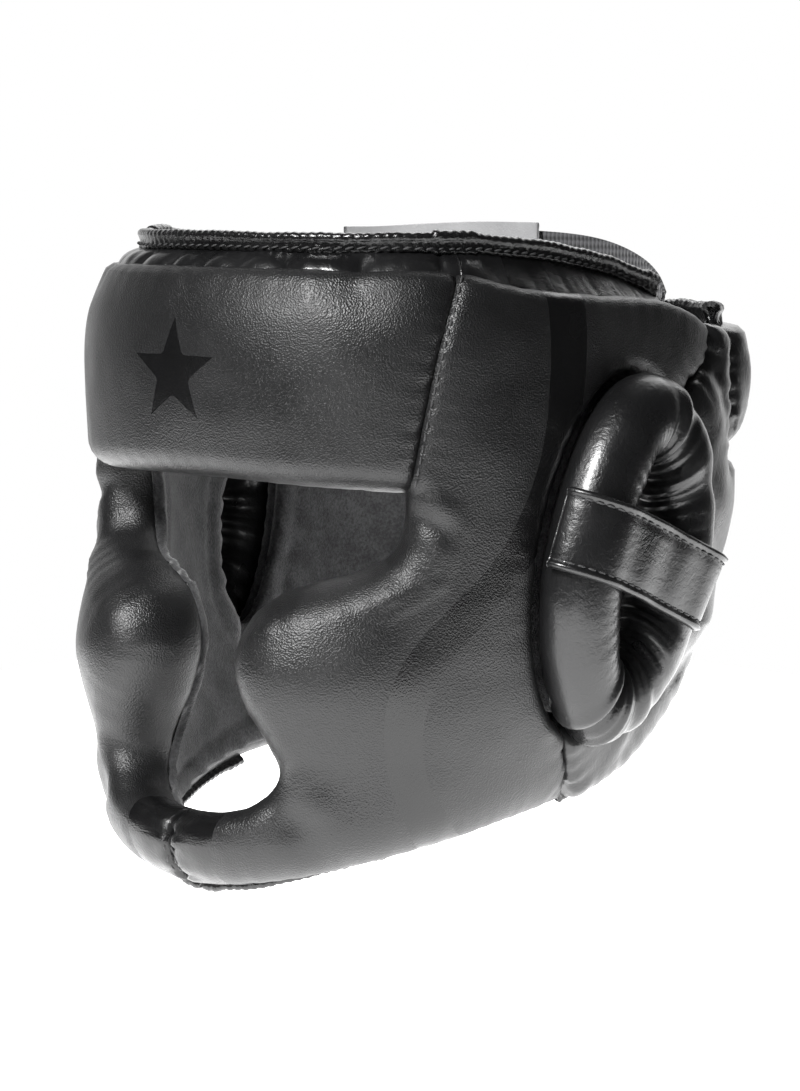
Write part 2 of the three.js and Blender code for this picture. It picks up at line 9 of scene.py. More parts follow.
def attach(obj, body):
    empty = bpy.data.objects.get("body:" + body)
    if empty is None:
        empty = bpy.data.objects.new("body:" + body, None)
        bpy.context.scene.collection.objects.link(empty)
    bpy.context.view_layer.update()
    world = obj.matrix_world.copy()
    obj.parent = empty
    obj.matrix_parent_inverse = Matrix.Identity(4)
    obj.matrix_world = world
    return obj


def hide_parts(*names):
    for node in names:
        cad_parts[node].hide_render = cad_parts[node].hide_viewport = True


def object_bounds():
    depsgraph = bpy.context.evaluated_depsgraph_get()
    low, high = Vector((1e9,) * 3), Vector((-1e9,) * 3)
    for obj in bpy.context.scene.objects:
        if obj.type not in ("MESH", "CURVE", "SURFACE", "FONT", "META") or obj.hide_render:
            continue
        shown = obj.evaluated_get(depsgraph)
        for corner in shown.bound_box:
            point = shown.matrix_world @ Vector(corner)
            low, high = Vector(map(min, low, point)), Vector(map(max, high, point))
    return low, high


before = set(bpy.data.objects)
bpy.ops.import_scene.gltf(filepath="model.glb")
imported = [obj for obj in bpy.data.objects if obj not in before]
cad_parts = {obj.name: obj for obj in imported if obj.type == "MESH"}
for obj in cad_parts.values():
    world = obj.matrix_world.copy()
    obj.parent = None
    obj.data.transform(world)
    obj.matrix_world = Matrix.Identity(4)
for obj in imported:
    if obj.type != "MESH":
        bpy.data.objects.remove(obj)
cad_box = [list(corner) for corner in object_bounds()]
scene = bpy.context.scene

# Shapes are worked out in millimetres, in the frame's own axes, and become metres when a mesh is made.
MM = 0.001

# ---------------------------------------------------------------- camera

VIEW_AZIMUTH = math.radians(43)
VIEW_ELEVATION = math.radians(7)
VIEW_DISTANCE = 1.15
LENS = 100.56


def add_camera():
    back = Vector((
        math.sin(VIEW_AZIMUTH) * math.cos(VIEW_ELEVATION),
        -math.cos(VIEW_AZIMUTH) * math.cos(VIEW_ELEVATION),
        math.sin(VIEW_ELEVATION),
    ))
    camera = bpy.data.objects.new("camera", bpy.data.cameras.new("camera"))
    camera.data.lens = LENS
    camera.data.sensor_width = 36
    camera.data.clip_start = 0.05
    camera.location = back * VIEW_DISTANCE
    camera.rotation_mode = "QUATERNION"
    camera.rotation_quaternion = (-back).to_track_quat("-Z", "Y")
    scene.collection.objects.link(camera)
    scene.camera = camera


add_camera()

# ---------------------------------------------------------------- the head form, as the CAD part has it

FORM_LOW = -120
FORM_STEP = 30
FORM_FRONT = np.array([119, 121, 112, 107, 108, 112, 115, 114, 102], float)
FORM_SIDE = np.array([72, 86, 96, 102, 105, 105.5, 105, 103, 94], float)
FORM_BACK = np.array([96, 101, 106, 112, 120, 128, 136, 134, 118], float)
FRONT_POWER = 2.4
BACK_POWER = 2.7
MM_PER_DEGREE = 1.9
PAD_THICK = 22
WING_THICK = 18
# angle, height, reach towards the face, reach away from it, reach up and down, rise
SWELLS = [(23, -32, 27, 42, 30, 15), (180, 60, 80, 80, 24, 4)]


def blend_at(values, height):
    last = len(values) - 1
    t = np.clip((height - FORM_LOW) / FORM_STEP, 0, last - 1e-6)
    i = np.floor(t).astype(int)
    f = t - i
    a, b, c, d = (values[np.clip(i + k, 0, last)] for k in (-1, 0, 1, 2))
    return b + 0.5 * f * (c - a + f * (2 * a - 5 * b + 4 * c - d + f * (3 * (b - c) + d - a)))


def form_point(degrees, height):
    angle = np.radians(degrees)
    ahead = np.cos(angle)
    reach = np.where(ahead > 0, blend_at(FORM_FRONT, height), blend_at(FORM_BACK, height))
    power = np.where(ahead > 0, FRONT_POWER, BACK_POWER)
    side = np.abs(np.sin(angle)) / blend_at(FORM_SIDE, height)
    radius = (side**power + (np.abs(ahead) / reach) ** power) ** (-1 / power)
    return np.stack([np.sin(angle) * radius, -ahead * radius, height + 0 * radius], -1)


def form_normal(degrees, height):
    around = form_point(degrees + 1, height) - form_point(degrees - 1, height)
    up = form_point(degrees, height + 1) - form_point(degrees, height - 1)
    normal = np.cross(around, up)
    return normal / np.linalg.norm(normal, axis=-1, keepdims=True)


def swell(degrees, height):
    highest = np.zeros(np.broadcast(degrees, height).shape)
    for angle, middle, towards, away, tall, rise in SWELLS:
        around = (np.abs(degrees) - angle) * MM_PER_DEGREE
        across = around / np.where(around < 0, towards, away)
        highest = np.maximum(highest, rise * np.exp(-(across**2) - ((height - middle) / tall) ** 2))
    return highest


def on_form(degrees, height, out):
    """The points `out` mm outside the form. The swell fades to nothing at the pad's inner face."""
    degrees, height, out = np.broadcast_arrays(
        np.asarray(degrees, float), np.asarray(height, float), np.asarray(out, float))
    share = np.clip(1 + out / PAD_THICK, 0, 1)
    lift = out + share * swell(degrees, height)
    return form_point(degrees, height) + form_normal(degrees, height) * lift[..., None]


# ---------------------------------------------------------------- lines and noise

def even_line(points, step=None, count=None):
    """A polyline resampled evenly, every `step` or into `count` points."""
    points = np.asarray(points, float)
    lengths = np.r_[0, np.cumsum(np.linalg.norm(np.diff(points, axis=0), axis=1))]
    steps = count - 1 if count else max(1, round(lengths[-1] / step))
    at = np.linspace(0, lengths[-1], steps + 1)
    return np.stack([np.interp(at, lengths, points[:, k]) for k in range(points.shape[1])], -1)


def smooth_line(points, step=None, count=None):
    """A centripetal Catmull-Rom curve through the points, resampled evenly."""
    p = np.asarray(points, float)
    if len(p) > 2:
        q = np.vstack([2 * p[0] - p[1], p, 2 * p[-1] - p[-2]])
        pieces = []
        for a, b, c, d in zip(q, q[1:], q[2:], q[3:]):
            ta = 0.0
            tb = ta + np.linalg.norm(b - a) ** 0.5
            tc = tb + np.linalg.norm(c - b) ** 0.5
            td = tc + np.linalg.norm(d - c) ** 0.5
            t = np.linspace(tb, tc, 24, endpoint=False)[:, None]
            ab = ((tb - t) * a + (t - ta) * b) / (tb - ta)
            bc = ((tc - t) * b + (t - tb) * c) / (tc - tb)
            cd = ((td - t) * c + (t - tc) * d) / (td - tc)
            abc = ((tc - t) * ab + (t - ta) * bc) / (tc - ta)
            bcd = ((td - t) * bc + (t - tb) * cd) / (td - tb)
            pieces.append(((tc - t) * abc + (t - tb) * bcd) / (tc - tb))
        p = np.vstack([*pieces, p[-1:]])
    return even_line(p, step, count)


def rough(points, size, seed=0.0):
    """Smooth noise from -1 to 1 at each point, with lumps of about `size` mm."""
    scaled = np.asarray(points, float) / size
    if scaled.shape[-1] == 2:
        scaled = np.concatenate([scaled, np.zeros(scaled.shape[:-1] + (1,))], -1)
    flat = scaled.reshape(-1, 3)
    values = [noise.noise(Vector((x + seed, y - seed, z + 2 * seed))) for x, y, z in flat]
    return np.array(values).reshape(scaled.shape[:-1])


def bump_at(distance, width):
    return np.exp(-((distance / width) ** 2))


def segment_distance(points, starts, ends):
    """Each point's distance to each segment, and how far along the segment the nearest place is."""
    along = ends - starts
    length = np.maximum((along**2).sum(-1), 1e-12)
    t = ((points[:, None] - starts) * along).sum(-1) / length
    t = np.clip(t, 0, 1)
    near = starts + along * t[..., None]
    return np.linalg.norm(points[:, None] - near, axis=-1), t


# ---------------------------------------------------------------- meshes

def new_piece(name, points, faces, materials, marks=None):
    mesh = bpy.data.meshes.new(name)
    mesh.from_pydata((np.asarray(points) * MM).tolist(), [], faces)
    for material in materials:
        mesh.materials.append(material)
    if marks is not None:
        mesh.polygons.foreach_set("material_index", np.asarray(marks, np.int32))
    mesh.polygons.foreach_set("use_smooth", np.ones(len(mesh.polygons), bool))
    mesh.validate()
    mesh.update()
    piece = bpy.data.objects.new(name, mesh)
    scene.collection.objects.link(piece)
    return piece


def mirror_points(points):
    return np.asarray(points) * np.array([-1, 1, 1])


def on_side(points, side):
    return mirror_points(points) if side == "_right" else points


def turn_faces(faces):
    return [tuple(reversed(face)) for face in faces]


def outward(points, faces):
    """The faces, turned if they enclose a negative volume."""
    six = 0.0
    for face in faces:
        for k in range(1, len(face) - 1):
            six += np.dot(points[face[0]], np.cross(points[face[k]], points[face[k + 1]]))
    return faces if six > 0 else turn_faces(faces)


def tube_faces(rings, corners, closed=False):
    faces = []
    for i in range(rings if closed else rings - 1):
        here, there = i * corners, ((i + 1) % rings) * corners
        for k in range(corners):
            other = (k + 1) % corners
            faces.append((here + k, here + other, there + other, there + k))
    if not closed:
        faces.append(tuple(range(corners)))
        faces.append(tuple(reversed(range((rings - 1) * corners, rings * corners))))
    return faces


def declare(piece, body, nodes=()):
    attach(piece, body)
    if nodes:
        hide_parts(*nodes)


# ---------------------------------------------------------------- materials

class Nodes:
    """Short calls for building one material's nodes."""

    def __init__(self, name):
        self.material = bpy.data.materials.new(name)
        self.material.use_nodes = True
        self.tree = self.material.node_tree
        self.shader = self.tree.nodes["Principled BSDF"]
        self.place = self.tree.nodes.new("ShaderNodeTexCoord").outputs["Object"]

    def add(self, kind, links=(), **values):
        node = self.tree.nodes.new(kind)
        for name, value in values.items():
            if name in node.inputs:
                node.inputs[name].default_value = value
            else:
                setattr(node, name, value)
        for name, source in dict(links).items():
            self.tree.links.new(source, node.inputs[name])
        return node

    def texture(self, kind, size_mm, output, **values):
        return self.add(kind, {"Vector": self.place}, Scale=1 / (size_mm * MM), **values).outputs[output]

    def ramp(self, source, low, high, start=0.0, end=1.0):
        node = self.add("ShaderNodeMapRange", {"Value": source})
        node.inputs["From Min"].default_value = start
        node.inputs["From Max"].default_value = end
        node.inputs["To Min"].default_value = low
        node.inputs["To Max"].default_value = high
        return node.outputs["Result"]

    def tint(self, factor, dark, light):
        node = self.add("ShaderNodeMix", data_type="RGBA")
        self.tree.links.new(factor, node.inputs["Factor"])
        node.inputs[6].default_value = (*dark, 1)
        node.inputs[7].default_value = (*light, 1)
        return node.outputs[2]

    def bump(self, height, depth_mm, strength=1.0, below=None):
        links = {"Height": height}
        if below:
            links["Normal"] = below
        node = self.add("ShaderNodeBump", links, Strength=strength, Distance=depth_mm * MM)
        return node.outputs["Normal"]

    def set(self, **sockets):
        for name, value in sockets.items():
            socket = self.shader.inputs[name.replace("_", " ")]
            if hasattr(value, "node"):
                self.tree.links.new(value, socket)
            else:
                socket.default_value = value
        return self.material


def leather(name, dark, light, roughness, grain_mm, grain_depth, coat=0.0, crease=0.0, spread=0.06):
    n = Nodes(name)
    cells = n.texture("ShaderNodeTexVoronoi", grain_mm, "Distance", feature="SMOOTH_F1", Smoothness=0.6)
    fine = n.texture("ShaderNodeTexNoise", grain_mm * 0.45, "Fac", Detail=2.0)
    cloud = n.texture("ShaderNodeTexNoise", 24, "Fac", Detail=3.0)
    creases = n.texture("ShaderNodeTexNoise", 3.2, "Fac", Detail=4.0, Distortion=1.2)
    normal = n.bump(creases, crease, 1.0)
    normal = n.bump(cells, grain_depth, 1.0, normal)
    normal = n.bump(fine, grain_depth * 0.4, 1.0, normal)
    # Painted highlight: the base colour is lighter on convex edges, where the rounded edges catch the
    # light. The cloud patches are the leather's own uneven tone.
    edge_highlight = n.ramp(n.add("ShaderNodeNewGeometry").outputs["Pointiness"], 0.0, 1.0, 0.5, 0.62)
    patchy = n.ramp(cloud, 0.0, 0.55, 0.3, 0.7)
    shade = n.add("ShaderNodeMath", {0: patchy, 1: edge_highlight}, operation="MAXIMUM").outputs[0]
    return n.set(
        Base_Color=n.tint(shade, dark, light),
        Roughness=n.ramp(cloud, roughness - spread, roughness + spread, 0.3, 0.7),
        Normal=normal,
        Coat_Weight=coat,
        Coat_Roughness=0.16,
        Specular_IOR_Level=0.5,
    )


def suede():
    n = Nodes("charcoal_suede")
    nap = n.texture("ShaderNodeTexNoise", 0.55, "Fac", Detail=3.0)
    brushed = n.texture("ShaderNodeTexNoise", 9, "Fac", Detail=3.0)
    speck = n.texture("ShaderNodeTexNoise", 1.1, "Fac", Detail=2.0)
    shade = n.add("ShaderNodeMath", {0: brushed, 1: speck}, operation="MULTIPLY").outputs[0]
    return n.set(
        Base_Color=n.tint(n.ramp(shade, 0, 1, 0.15, 0.4), (0.02, 0.02, 0.021), (0.06, 0.06, 0.062)),
        Roughness=0.95,
        Normal=n.bump(nap, 0.5, 0.8),
        Sheen_Weight=0.35,
        Sheen_Roughness=0.5,
        Specular_IOR_Level=0.2,
    )


def webbing_material():
    n = Nodes("black_elastic_webbing")
    ribs = n.add("ShaderNodeTexWave", {"Vector": n.place}, bands_direction="Z", Scale=105.0, Distortion=0.4)
    cross = n.add("ShaderNodeTexWave", {"Vector": n.place}, bands_direction="X", Scale=150.0,
                  Distortion=0.8)
    cloth = n.add("ShaderNodeMath", {0: ribs.outputs["Fac"], 1: cross.outputs["Fac"]}, operation="ADD")
    shade = n.ramp(cloth.outputs[0], 0, 1, 0.2, 1.7)
    return n.set(
        Base_Color=n.tint(shade, (0.012, 0.012, 0.013), (0.085, 0.085, 0.09)),
        Roughness=0.85,
        Normal=n.bump(cloth.outputs[0], 0.5, 0.8),
        Sheen_Weight=0.2,
    )


def hook_material():
    n = Nodes("hook_and_loop")
    pile = n.texture("ShaderNodeTexVoronoi", 0.8, "Distance")
    fuzz = n.texture("ShaderNodeTexNoise", 0.5, "Fac", Detail=3.0)
    return n.set(
        Base_Color=n.tint(pile, (0.006, 0.006, 0.006), (0.045, 0.045, 0.047)),
        Roughness=0.9,
        Normal=n.bump(fuzz, 0.6, 0.8, n.bump(pile, 0.8, 0.9)),
        Sheen_Weight=0.3,
    )


def thread_material():
    n = Nodes("black_thread")
    twist = n.add("ShaderNodeTexWave", {"Vector": n.place}, bands_direction="DIAGONAL", Scale=900.0)
    return n.set(
        Base_Color=n.tint(twist.outputs["Fac"], (0.014, 0.014, 0.014), (0.06, 0.06, 0.062)),
        Roughness=0.55,
        Normal=n.bump(twist.outputs["Fac"], 0.1, 0.6),
    )


def flap_material():
    n = Nodes("tab_leather_painted_reflection")
    grain = n.texture("ShaderNodeTexVoronoi", 0.8, "Distance", feature="SMOOTH_F1")
    cloud = n.texture("ShaderNodeTexNoise", 12, "Fac", Detail=3.0)
    # The light grey base colour is partly the tab's own grey and partly painted reflection: it is raised to
    # stand in for the bright light the smooth tab reflects.
    return n.set(
        Base_Color=n.tint(cloud, (0.26, 0.26, 0.265), (0.4, 0.4, 0.405)),
        Roughness=0.5,
        Normal=n.bump(grain, 0.15, 0.8),
    )


MATTE = leather("matte_grained_leather", (0.006, 0.006, 0.0063), (0.011, 0.011, 0.0114), 0.38, 0.62, 0.17)
GLOSS = leather("gloss_leather", (0.005, 0.005, 0.0053), (0.011, 0.011, 0.0115), 0.3, 0.6, 0.04, coat=0.25,
                crease=0.2)
STRIPE = leather("gloss_print", (0.003, 0.003, 0.0032), (0.005, 0.005, 0.0052), 0.26, 0.62, 0.09,
                 spread=0.03)
TRIM = leather("binding_leather", (0.004, 0.004, 0.0042), (0.01, 0.01, 0.0105), 0.26, 1.6, 0.18, coat=0.25,
               crease=0.4)
SUEDE = suede()
WEBBING = webbing_material()
HOOKS = hook_material()
THREAD = thread_material()
TAB = flap_material()

# ---------------------------------------------------------------- pad outlines, in degrees and mm of height

FOREHEAD_SEAM = [[44.5, 30], [47.5, 60], [50.5, 85], [54.5, 109]]
SIDE_TOP = [[65.6, 103.5], [85.6, 99.5], [108, 96], [123, 87]]
REAR_SEAM = [[121, 72], [110, 58], [96, 30], [86, -20], [82.5, -64], [94, -91]]
JAW_RIM = [[77, -94], [50, -102], [26, -109], [0.2, -113]]
FACE_EDGE = [
    [8, -80], [15.5, -76], [20, -67], [18, -58], [13, -44], [10.5, -27], [14.5, -11], [24, -3], [34, 1.5],
    [41.5, 8], [44.2, 18],
]
NECK_RIM = [[110, -79], [123, -60], [134, -43], [148, -38], [160, -36]]
WING_REAR = [[162, -30], [162, 25], [158, 31.5]]
PAD_FRONT = [[131.8, 50], [131.8, 70], [132.7, 84]]


def mirrored(points):
    return [[-d, h] for d, h in points]


# How an edge is finished: whether it is a free edge, how far in it rounds off and how far down, its seam's
# depth and its puckering.
EDGES = {
    "top": dict(free=True, round=5.5, drop=8, groove=0, pucker=0.2),
    "face": dict(free=True, round=11, drop=14, groove=0, pucker=0.5),
    "jaw": dict(free=True, round=21, drop=15, groove=0, pucker=0.6),
    "neck": dict(free=True, round=13, drop=12, groove=0, pucker=1.0),
    "ear": dict(free=True, round=7, drop=13, groove=0, pucker=0.35),
    "seam": dict(free=False, round=9, drop=12, groove=2.4, pucker=0.3),
    "wing_seam": dict(free=False, round=9, drop=12, groove=4.5, pucker=0.8),
    "chin_seam": dict(free=False, round=12, drop=14, groove=2.6, pucker=1.1),
}
# Each outline starts at a point. Each stretch is a line to one point, or a curve through several.
OUTLINES = {
    "forehead": ([-44.5, 30], [
        ("face", [[0, 32.5], [44.5, 30]]),
        ("seam", FOREHEAD_SEAM[1:]),
        ("top", [[0, 110], [-54.5, 109]]),
        ("seam", mirrored(FOREHEAD_SEAM)[::-1][1:]),
    ]),
    "side": ([0.2, -81], [
        ("face", FACE_EDGE + [[44.7, 30]]),
        ("seam", [[d + 0.2, h] for d, h in FOREHEAD_SEAM[1:]]),
        ("top", SIDE_TOP),
        ("wing_seam", REAR_SEAM),
        ("jaw", JAW_RIM),
        ("chin_seam", [[0.2, -81]]),
    ]),
    "wing": ([94.3, -91], [
        ("neck", NECK_RIM),
        ("neck", WING_REAR),
        ("top", [[133.8, 32.5]]),
        ("wing_seam", PAD_FRONT),
        ("top", [[123.4, 86.5]]),
        ("wing_seam", [[d + 0.2, h] for d, h in REAR_SEAM]),
    ]),
    "back": ([134.5, 34], [
        ("neck", [[180, 33.5], [225.5, 34]]),
        ("wing_seam", [[227.9, 50], [227.9, 70], [226.6, 83.5]]),
        ("top", [[180, 84], [133.4, 83.5]]),
        ("wing_seam", [[132.1, 70], [132.1, 50], [134.5, 34]]),
    ]),
}

EAR_ANGLE = 90.5
EAR_HEIGHT = 5
EAR_LEAN = math.radians(12)
ROLL_RADIUS = 15
ROLL_ACROSS = 23.6
ROLL_UP = 50.6
ROLL_LIFT = 4
COVER_HOLE = 13
LINING_HOLE = -7

# Glossy print that is flush with the leather: a band down each side, one under the mouth, and a plain star.
BAND_FRONT = [
    [72, 108], [72, 81], [70.5, 52], [67, 31], [60, 8], [51, -9], [45.5, -20], [41.5, -34], [40, -52],
    [42, -75], [47, -92], [56, -104],
]
BAND_REAR = [
    [68, -104], [54, -85], [48.5, -71], [46.8, -52], [48.5, -37], [52, -26], [58, -14], [62, -5], [68, 7],
    [76, 37], [79.5, 58], [81.5, 89], [82, 108],
]
CHIN_BAND = [[11, -84], [9.5, -98], [10.5, -120], [-8, -120], [-8, -70], [8, -70]]
STAR = {"height": 71, "reach": 19, "waist": 7.6}


def chart(points):
    return np.asarray(points, float) * np.array([MM_PER_DEGREE, 1])


def band_shape():
    front = smooth_line(chart(BAND_FRONT), 4)
    rear = smooth_line(chart(BAND_REAR), 4)
    return np.vstack([front, rear])


def star_shape():
    turns = np.radians(90 + 36 * np.arange(10))
    reach = np.where(np.arange(10) % 2 == 0, STAR["reach"], STAR["waist"])
    return np.stack([reach * np.cos(turns), STAR["height"] + reach * np.sin(turns)], -1)


def ear_oval(grow, count=90):
    turns = np.linspace(0, 2 * math.pi, count, endpoint=False)
    across, up = (ROLL_ACROSS + grow) * np.cos(turns), (ROLL_UP + grow) * np.sin(turns)
    lean_cos, lean_sin = math.cos(EAR_LEAN), math.sin(EAR_LEAN)
    return np.stack([
        EAR_ANGLE * MM_PER_DEGREE + across * lean_cos + up * lean_sin,
        EAR_HEIGHT - across * lean_sin + up * lean_cos,
    ], -1)


def inside(points, polygon):
    x, y = points[:, 0][:, None], points[:, 1][:, None]
    a, b = polygon, np.roll(polygon, -1, 0)
    crosses = (a[:, 1] > y) != (b[:, 1] > y)
    rise = np.where(b[:, 1] == a[:, 1], 1e-9, b[:, 1] - a[:, 1])
    at = a[:, 0] + (y - a[:, 1]) / rise * (b[:, 0] - a[:, 0])
    return (crosses & (x < at)).sum(1) % 2 == 1


class FlatPattern:
    """One pad's pattern piece, cut flat and meshed finely, with what is known of its edges."""

    def __init__(self, panel, spacing, hole=None, prints=()):
        start, stretches = OUTLINES[panel]
        line, kinds = [chart([start])[0]], []
        for kind, points in stretches:
            curve = smooth_line(np.vstack([line[-1], chart(points)]), spacing)
            line.extend(curve[1:])
            kinds.extend([kind] * (len(curve) - 1))
        if np.linalg.norm(line[-1] - line[0]) < 1e-3:
            line.pop()
        else:
            kinds.append(stretches[-1][0])
        self.line, self.kinds = np.array(line), kinds
        self.hole = None if hole is None else ear_oval(hole)
        self.cut(spacing, prints)
        self.find_edges()

    def cut(self, spacing, prints):
        loops = [self.line] + ([self.hole] if self.hole is not None else [])
        loops += [even_line(np.vstack([p, p[:1]]), spacing)[:-1] for p in prints]
        points, edges = [], []
        for loop in loops:
            first = len(points)
            points.extend(loop)
            edges.extend((first + i, first + (i + 1) % len(loop)) for i in range(len(loop)))
        fixed = np.array(points)
        low, high = self.line.min(0), self.line.max(0)
        rows = np.arange(low[1], high[1], spacing * 0.866)
        columns = np.arange(low[0], high[0], spacing)
        grid = np.array([
            (x + (0.5 * spacing if i % 2 else 0), y) for i, y in enumerate(rows) for x in columns])
        grid = grid[self.holds(grid)]
        starts = fixed[[a for a, _ in edges]]
        ends = fixed[[b for _, b in edges]]
        near = np.concatenate([
            segment_distance(part, starts, ends)[0].min(1) for part in np.array_split(grid, 12)])
        grid = grid[near > 0.6 * spacing]
        everything = [Vector(p) for p in np.vstack([fixed, grid])]
        verts, _, faces, *_ = delaunay_2d_cdt(everything, edges, [], 0, 1e-4)
        flat = np.array([tuple(v) for v in verts])
        faces = np.array([f for f in faces if len(f) == 3])
        middles = flat[faces].mean(1)
        kept = self.holds(middles)
        faces, middles = faces[kept], middles[kept]
        a, b, c = (flat[faces[:, k]] for k in range(3))
        area = (b - a)[:, 0] * (c - a)[:, 1] - (b - a)[:, 1] * (c - a)[:, 0]
        faces[area < 0] = faces[area < 0][:, ::-1]
        self.marks = np.zeros(len(faces), int)
        for shape in prints:
            self.marks[inside(middles, shape)] = 1
        used, renumbered = np.unique(faces, return_inverse=True)
        self.flat, self.faces = flat[used], renumbered.reshape(-1, 3)

    def holds(self, points):
        held = inside(points, self.line)
        return held if self.hole is None else held & ~inside(points, self.hole)

    def find_edges(self):
        """Orders the boundary into loops, and gives each edge the finish of the stretch it came from."""
        directed = {}
        for a, b, c in self.faces.tolist():
            for edge in ((a, b), (b, c), (c, a)):
                directed[edge] = True
        following = {a: b for a, b in directed if (b, a) not in directed}
        self.loops = []
        left = dict(following)
        while left:
            first = min(left)
            loop, here = [], first
            while here in left:
                loop.append(here)
                here = left.pop(here)
            self.loops.append(loop)
        line_ends = np.roll(self.line, -1, 0)
        self.edge_starts, self.edge_ends, self.edge_kinds, self.edge_at = [], [], [], []
        for loop in self.loops:
            run = 0.0
            for i, here in enumerate(loop):
                there = loop[(i + 1) % len(loop)]
                middle = (self.flat[here] + self.flat[there]) / 2
                distance = segment_distance(middle[None], self.line, line_ends)[0][0]
                on_line = distance.min() < 0.05 or self.hole is None
                self.edge_kinds.append(self.kinds[int(distance.argmin())] if on_line else "ear")
                self.edge_starts.append(here)
                self.edge_ends.append(there)
                self.edge_at.append(run)
                run += float(np.linalg.norm(self.flat[there] - self.flat[here]))
        self.edge_at = np.array(self.edge_at)

    def loop_values(self, key, smoothing=4):
        """An edge property at each boundary point, evened out along its loop."""
        values, offset = {}, 0
        for loop in self.loops:
            count = len(loop)
            own = np.array([float(EDGES[self.edge_kinds[offset + i]][key]) for i in range(count)])
            own = (own + np.roll(own, 1)) / 2
            for _ in range(smoothing):
                own = (np.roll(own, 1) + 2 * own + np.roll(own, -1)) / 4
            values.update(zip(loop, own))
            offset += count
        return values

    def fields(self):
        """For each point: the distance to free edges and to seams, and the nearest edge and place on it."""
        starts = self.flat[self.edge_starts]
        ends = self.flat[self.edge_ends]
        is_free = np.array([EDGES[k]["free"] for k in self.edge_kinds])
        everything = {}
        for name, chosen in (("free", is_free), ("seam", ~is_free)):
            rows = np.flatnonzero(chosen)
            distance, at, row = [], [], []
            for part in np.array_split(self.flat, 16):
                d, t = segment_distance(part, starts[rows], ends[rows])
                nearest = d.argmin(1)
                index = np.arange(len(part))
                distance.append(d[index, nearest])
                at.append(t[index, nearest])
                row.append(rows[nearest])
            everything[name] = (np.concatenate(distance), np.concatenate(at), np.concatenate(row))
        return everything

    def along(self, values, row, t):
        """A boundary value carried to the points whose nearest place is `t` along edge `row`."""
        first = np.array([values[self.edge_starts[r]] for r in row])
        last = np.array([values[self.edge_ends[r]] for r in row])
        return first + (last - first) * t

    def inward(self):
        """The direction into the pattern at each boundary point."""
        normals = np.zeros_like(self.flat)
        for a, b in zip(self.edge_starts, self.edge_ends):
            run = self.flat[b] - self.flat[a]
            left = np.array([-run[1], run[0]]) / max(np.linalg.norm(run), 1e-9)
            normals[a] += left
            normals[b] += left
        length = np.linalg.norm(normals, axis=1, keepdims=True)
        return normals / np.where(length < 1e-9, 1, length)


def pucker_wave(at, pitch=8.5):
    return np.sin(2 * math.pi * (at + 2.4 * np.sin(at / 13.0)) / pitch) + 0.5 * np.sin(at / 2.1 + 1.3)


# ---------------------------------------------------------------- padded panels

# Where the leather bulges or dips: two ends in degrees and height, width in mm, rise in mm.
FOLDS = {
    "forehead": [
        ([33, 108], [37, 98], 7, -1.3), ([-33, 108], [-37, 98], 7, -1.3),
        ([26, 106], [28, 96], 6, 0.7), ([-24, 60], [24, 60], 26, 0.8),
    ],
    "side": [
        ([50.5, 16], [48, 1], 1.6, 1.3), ([52.8, 16], [50.5, 0], 1.6, 1.1), ([48, 1], [38, -7], 1.6, 1.2),
        ([50.5, 0], [41, -10], 1.6, 0.9), ([46, 27], [51, 16], 2.4, -1.3), ([48, 32], [54, 20], 3.2, 0.8),
        ([56, 70], [60, 20], 16, 1.0), ([21, -5], [31, 1], 5, 1.0), ([25, -86], [33, -97], 9, -1.0),
        ([22, -76], [27, -90], 6, -1.6), ([27, -70], [31, -84], 6, 1.2),
    ],
    "wing": [
        ([114, 88], [124, 66], 3.4, -2.4), ([118, 90], [128, 74], 3.6, 1.6),
        ([124, 66], [127, 48], 4, -1.4), ([113, 62], [124, 50], 9, 1.6),
        ([120, 30], [140, 10], 9, 1.5), ([122, 12], [142, -14], 6, -1.6),
        ([104, -62], [112, -40], 5, -1.8), ([98, -70], [104, -48], 4.5, 1.6),
        ([118, -30], [134, -26], 6, 1.6), ([112, -50], [128, -36], 4, -1.5),
        ([146, 20], [150, -24], 7, -1.6), ([138, 24], [142, -30], 8, 1.4),
    ],
    "back": [
        ([150, 80], [154, 40], 10, -1.2), ([210, 80], [206, 40], 10, -1.2), ([172, 78], [188, 40], 14, 1.2),
        ([138, 76], [142, 52], 5, 1.3), ([222, 76], [218, 52], 5, 1.3),
    ],
}
UNEVEN = {"forehead": 0.35, "side": 0.4, "wing": 0.9, "back": 0.8}
SKIRT_RINGS = 5
TUCK = 4.0
SEAM_TUCK = 0.1
FLATTEN = 13.0


def folds_at(panel, flat):
    lift = np.zeros(len(flat))
    for start, end, width, rise in FOLDS[panel]:
        distance, t = segment_distance(flat, chart([start]), chart([end]))
        ends = 0.35 + 0.65 * np.sin(math.pi * np.clip(t[:, 0], 0.08, 0.92))
        lift += rise * ends * bump_at(distance[:, 0], width)
    return lift


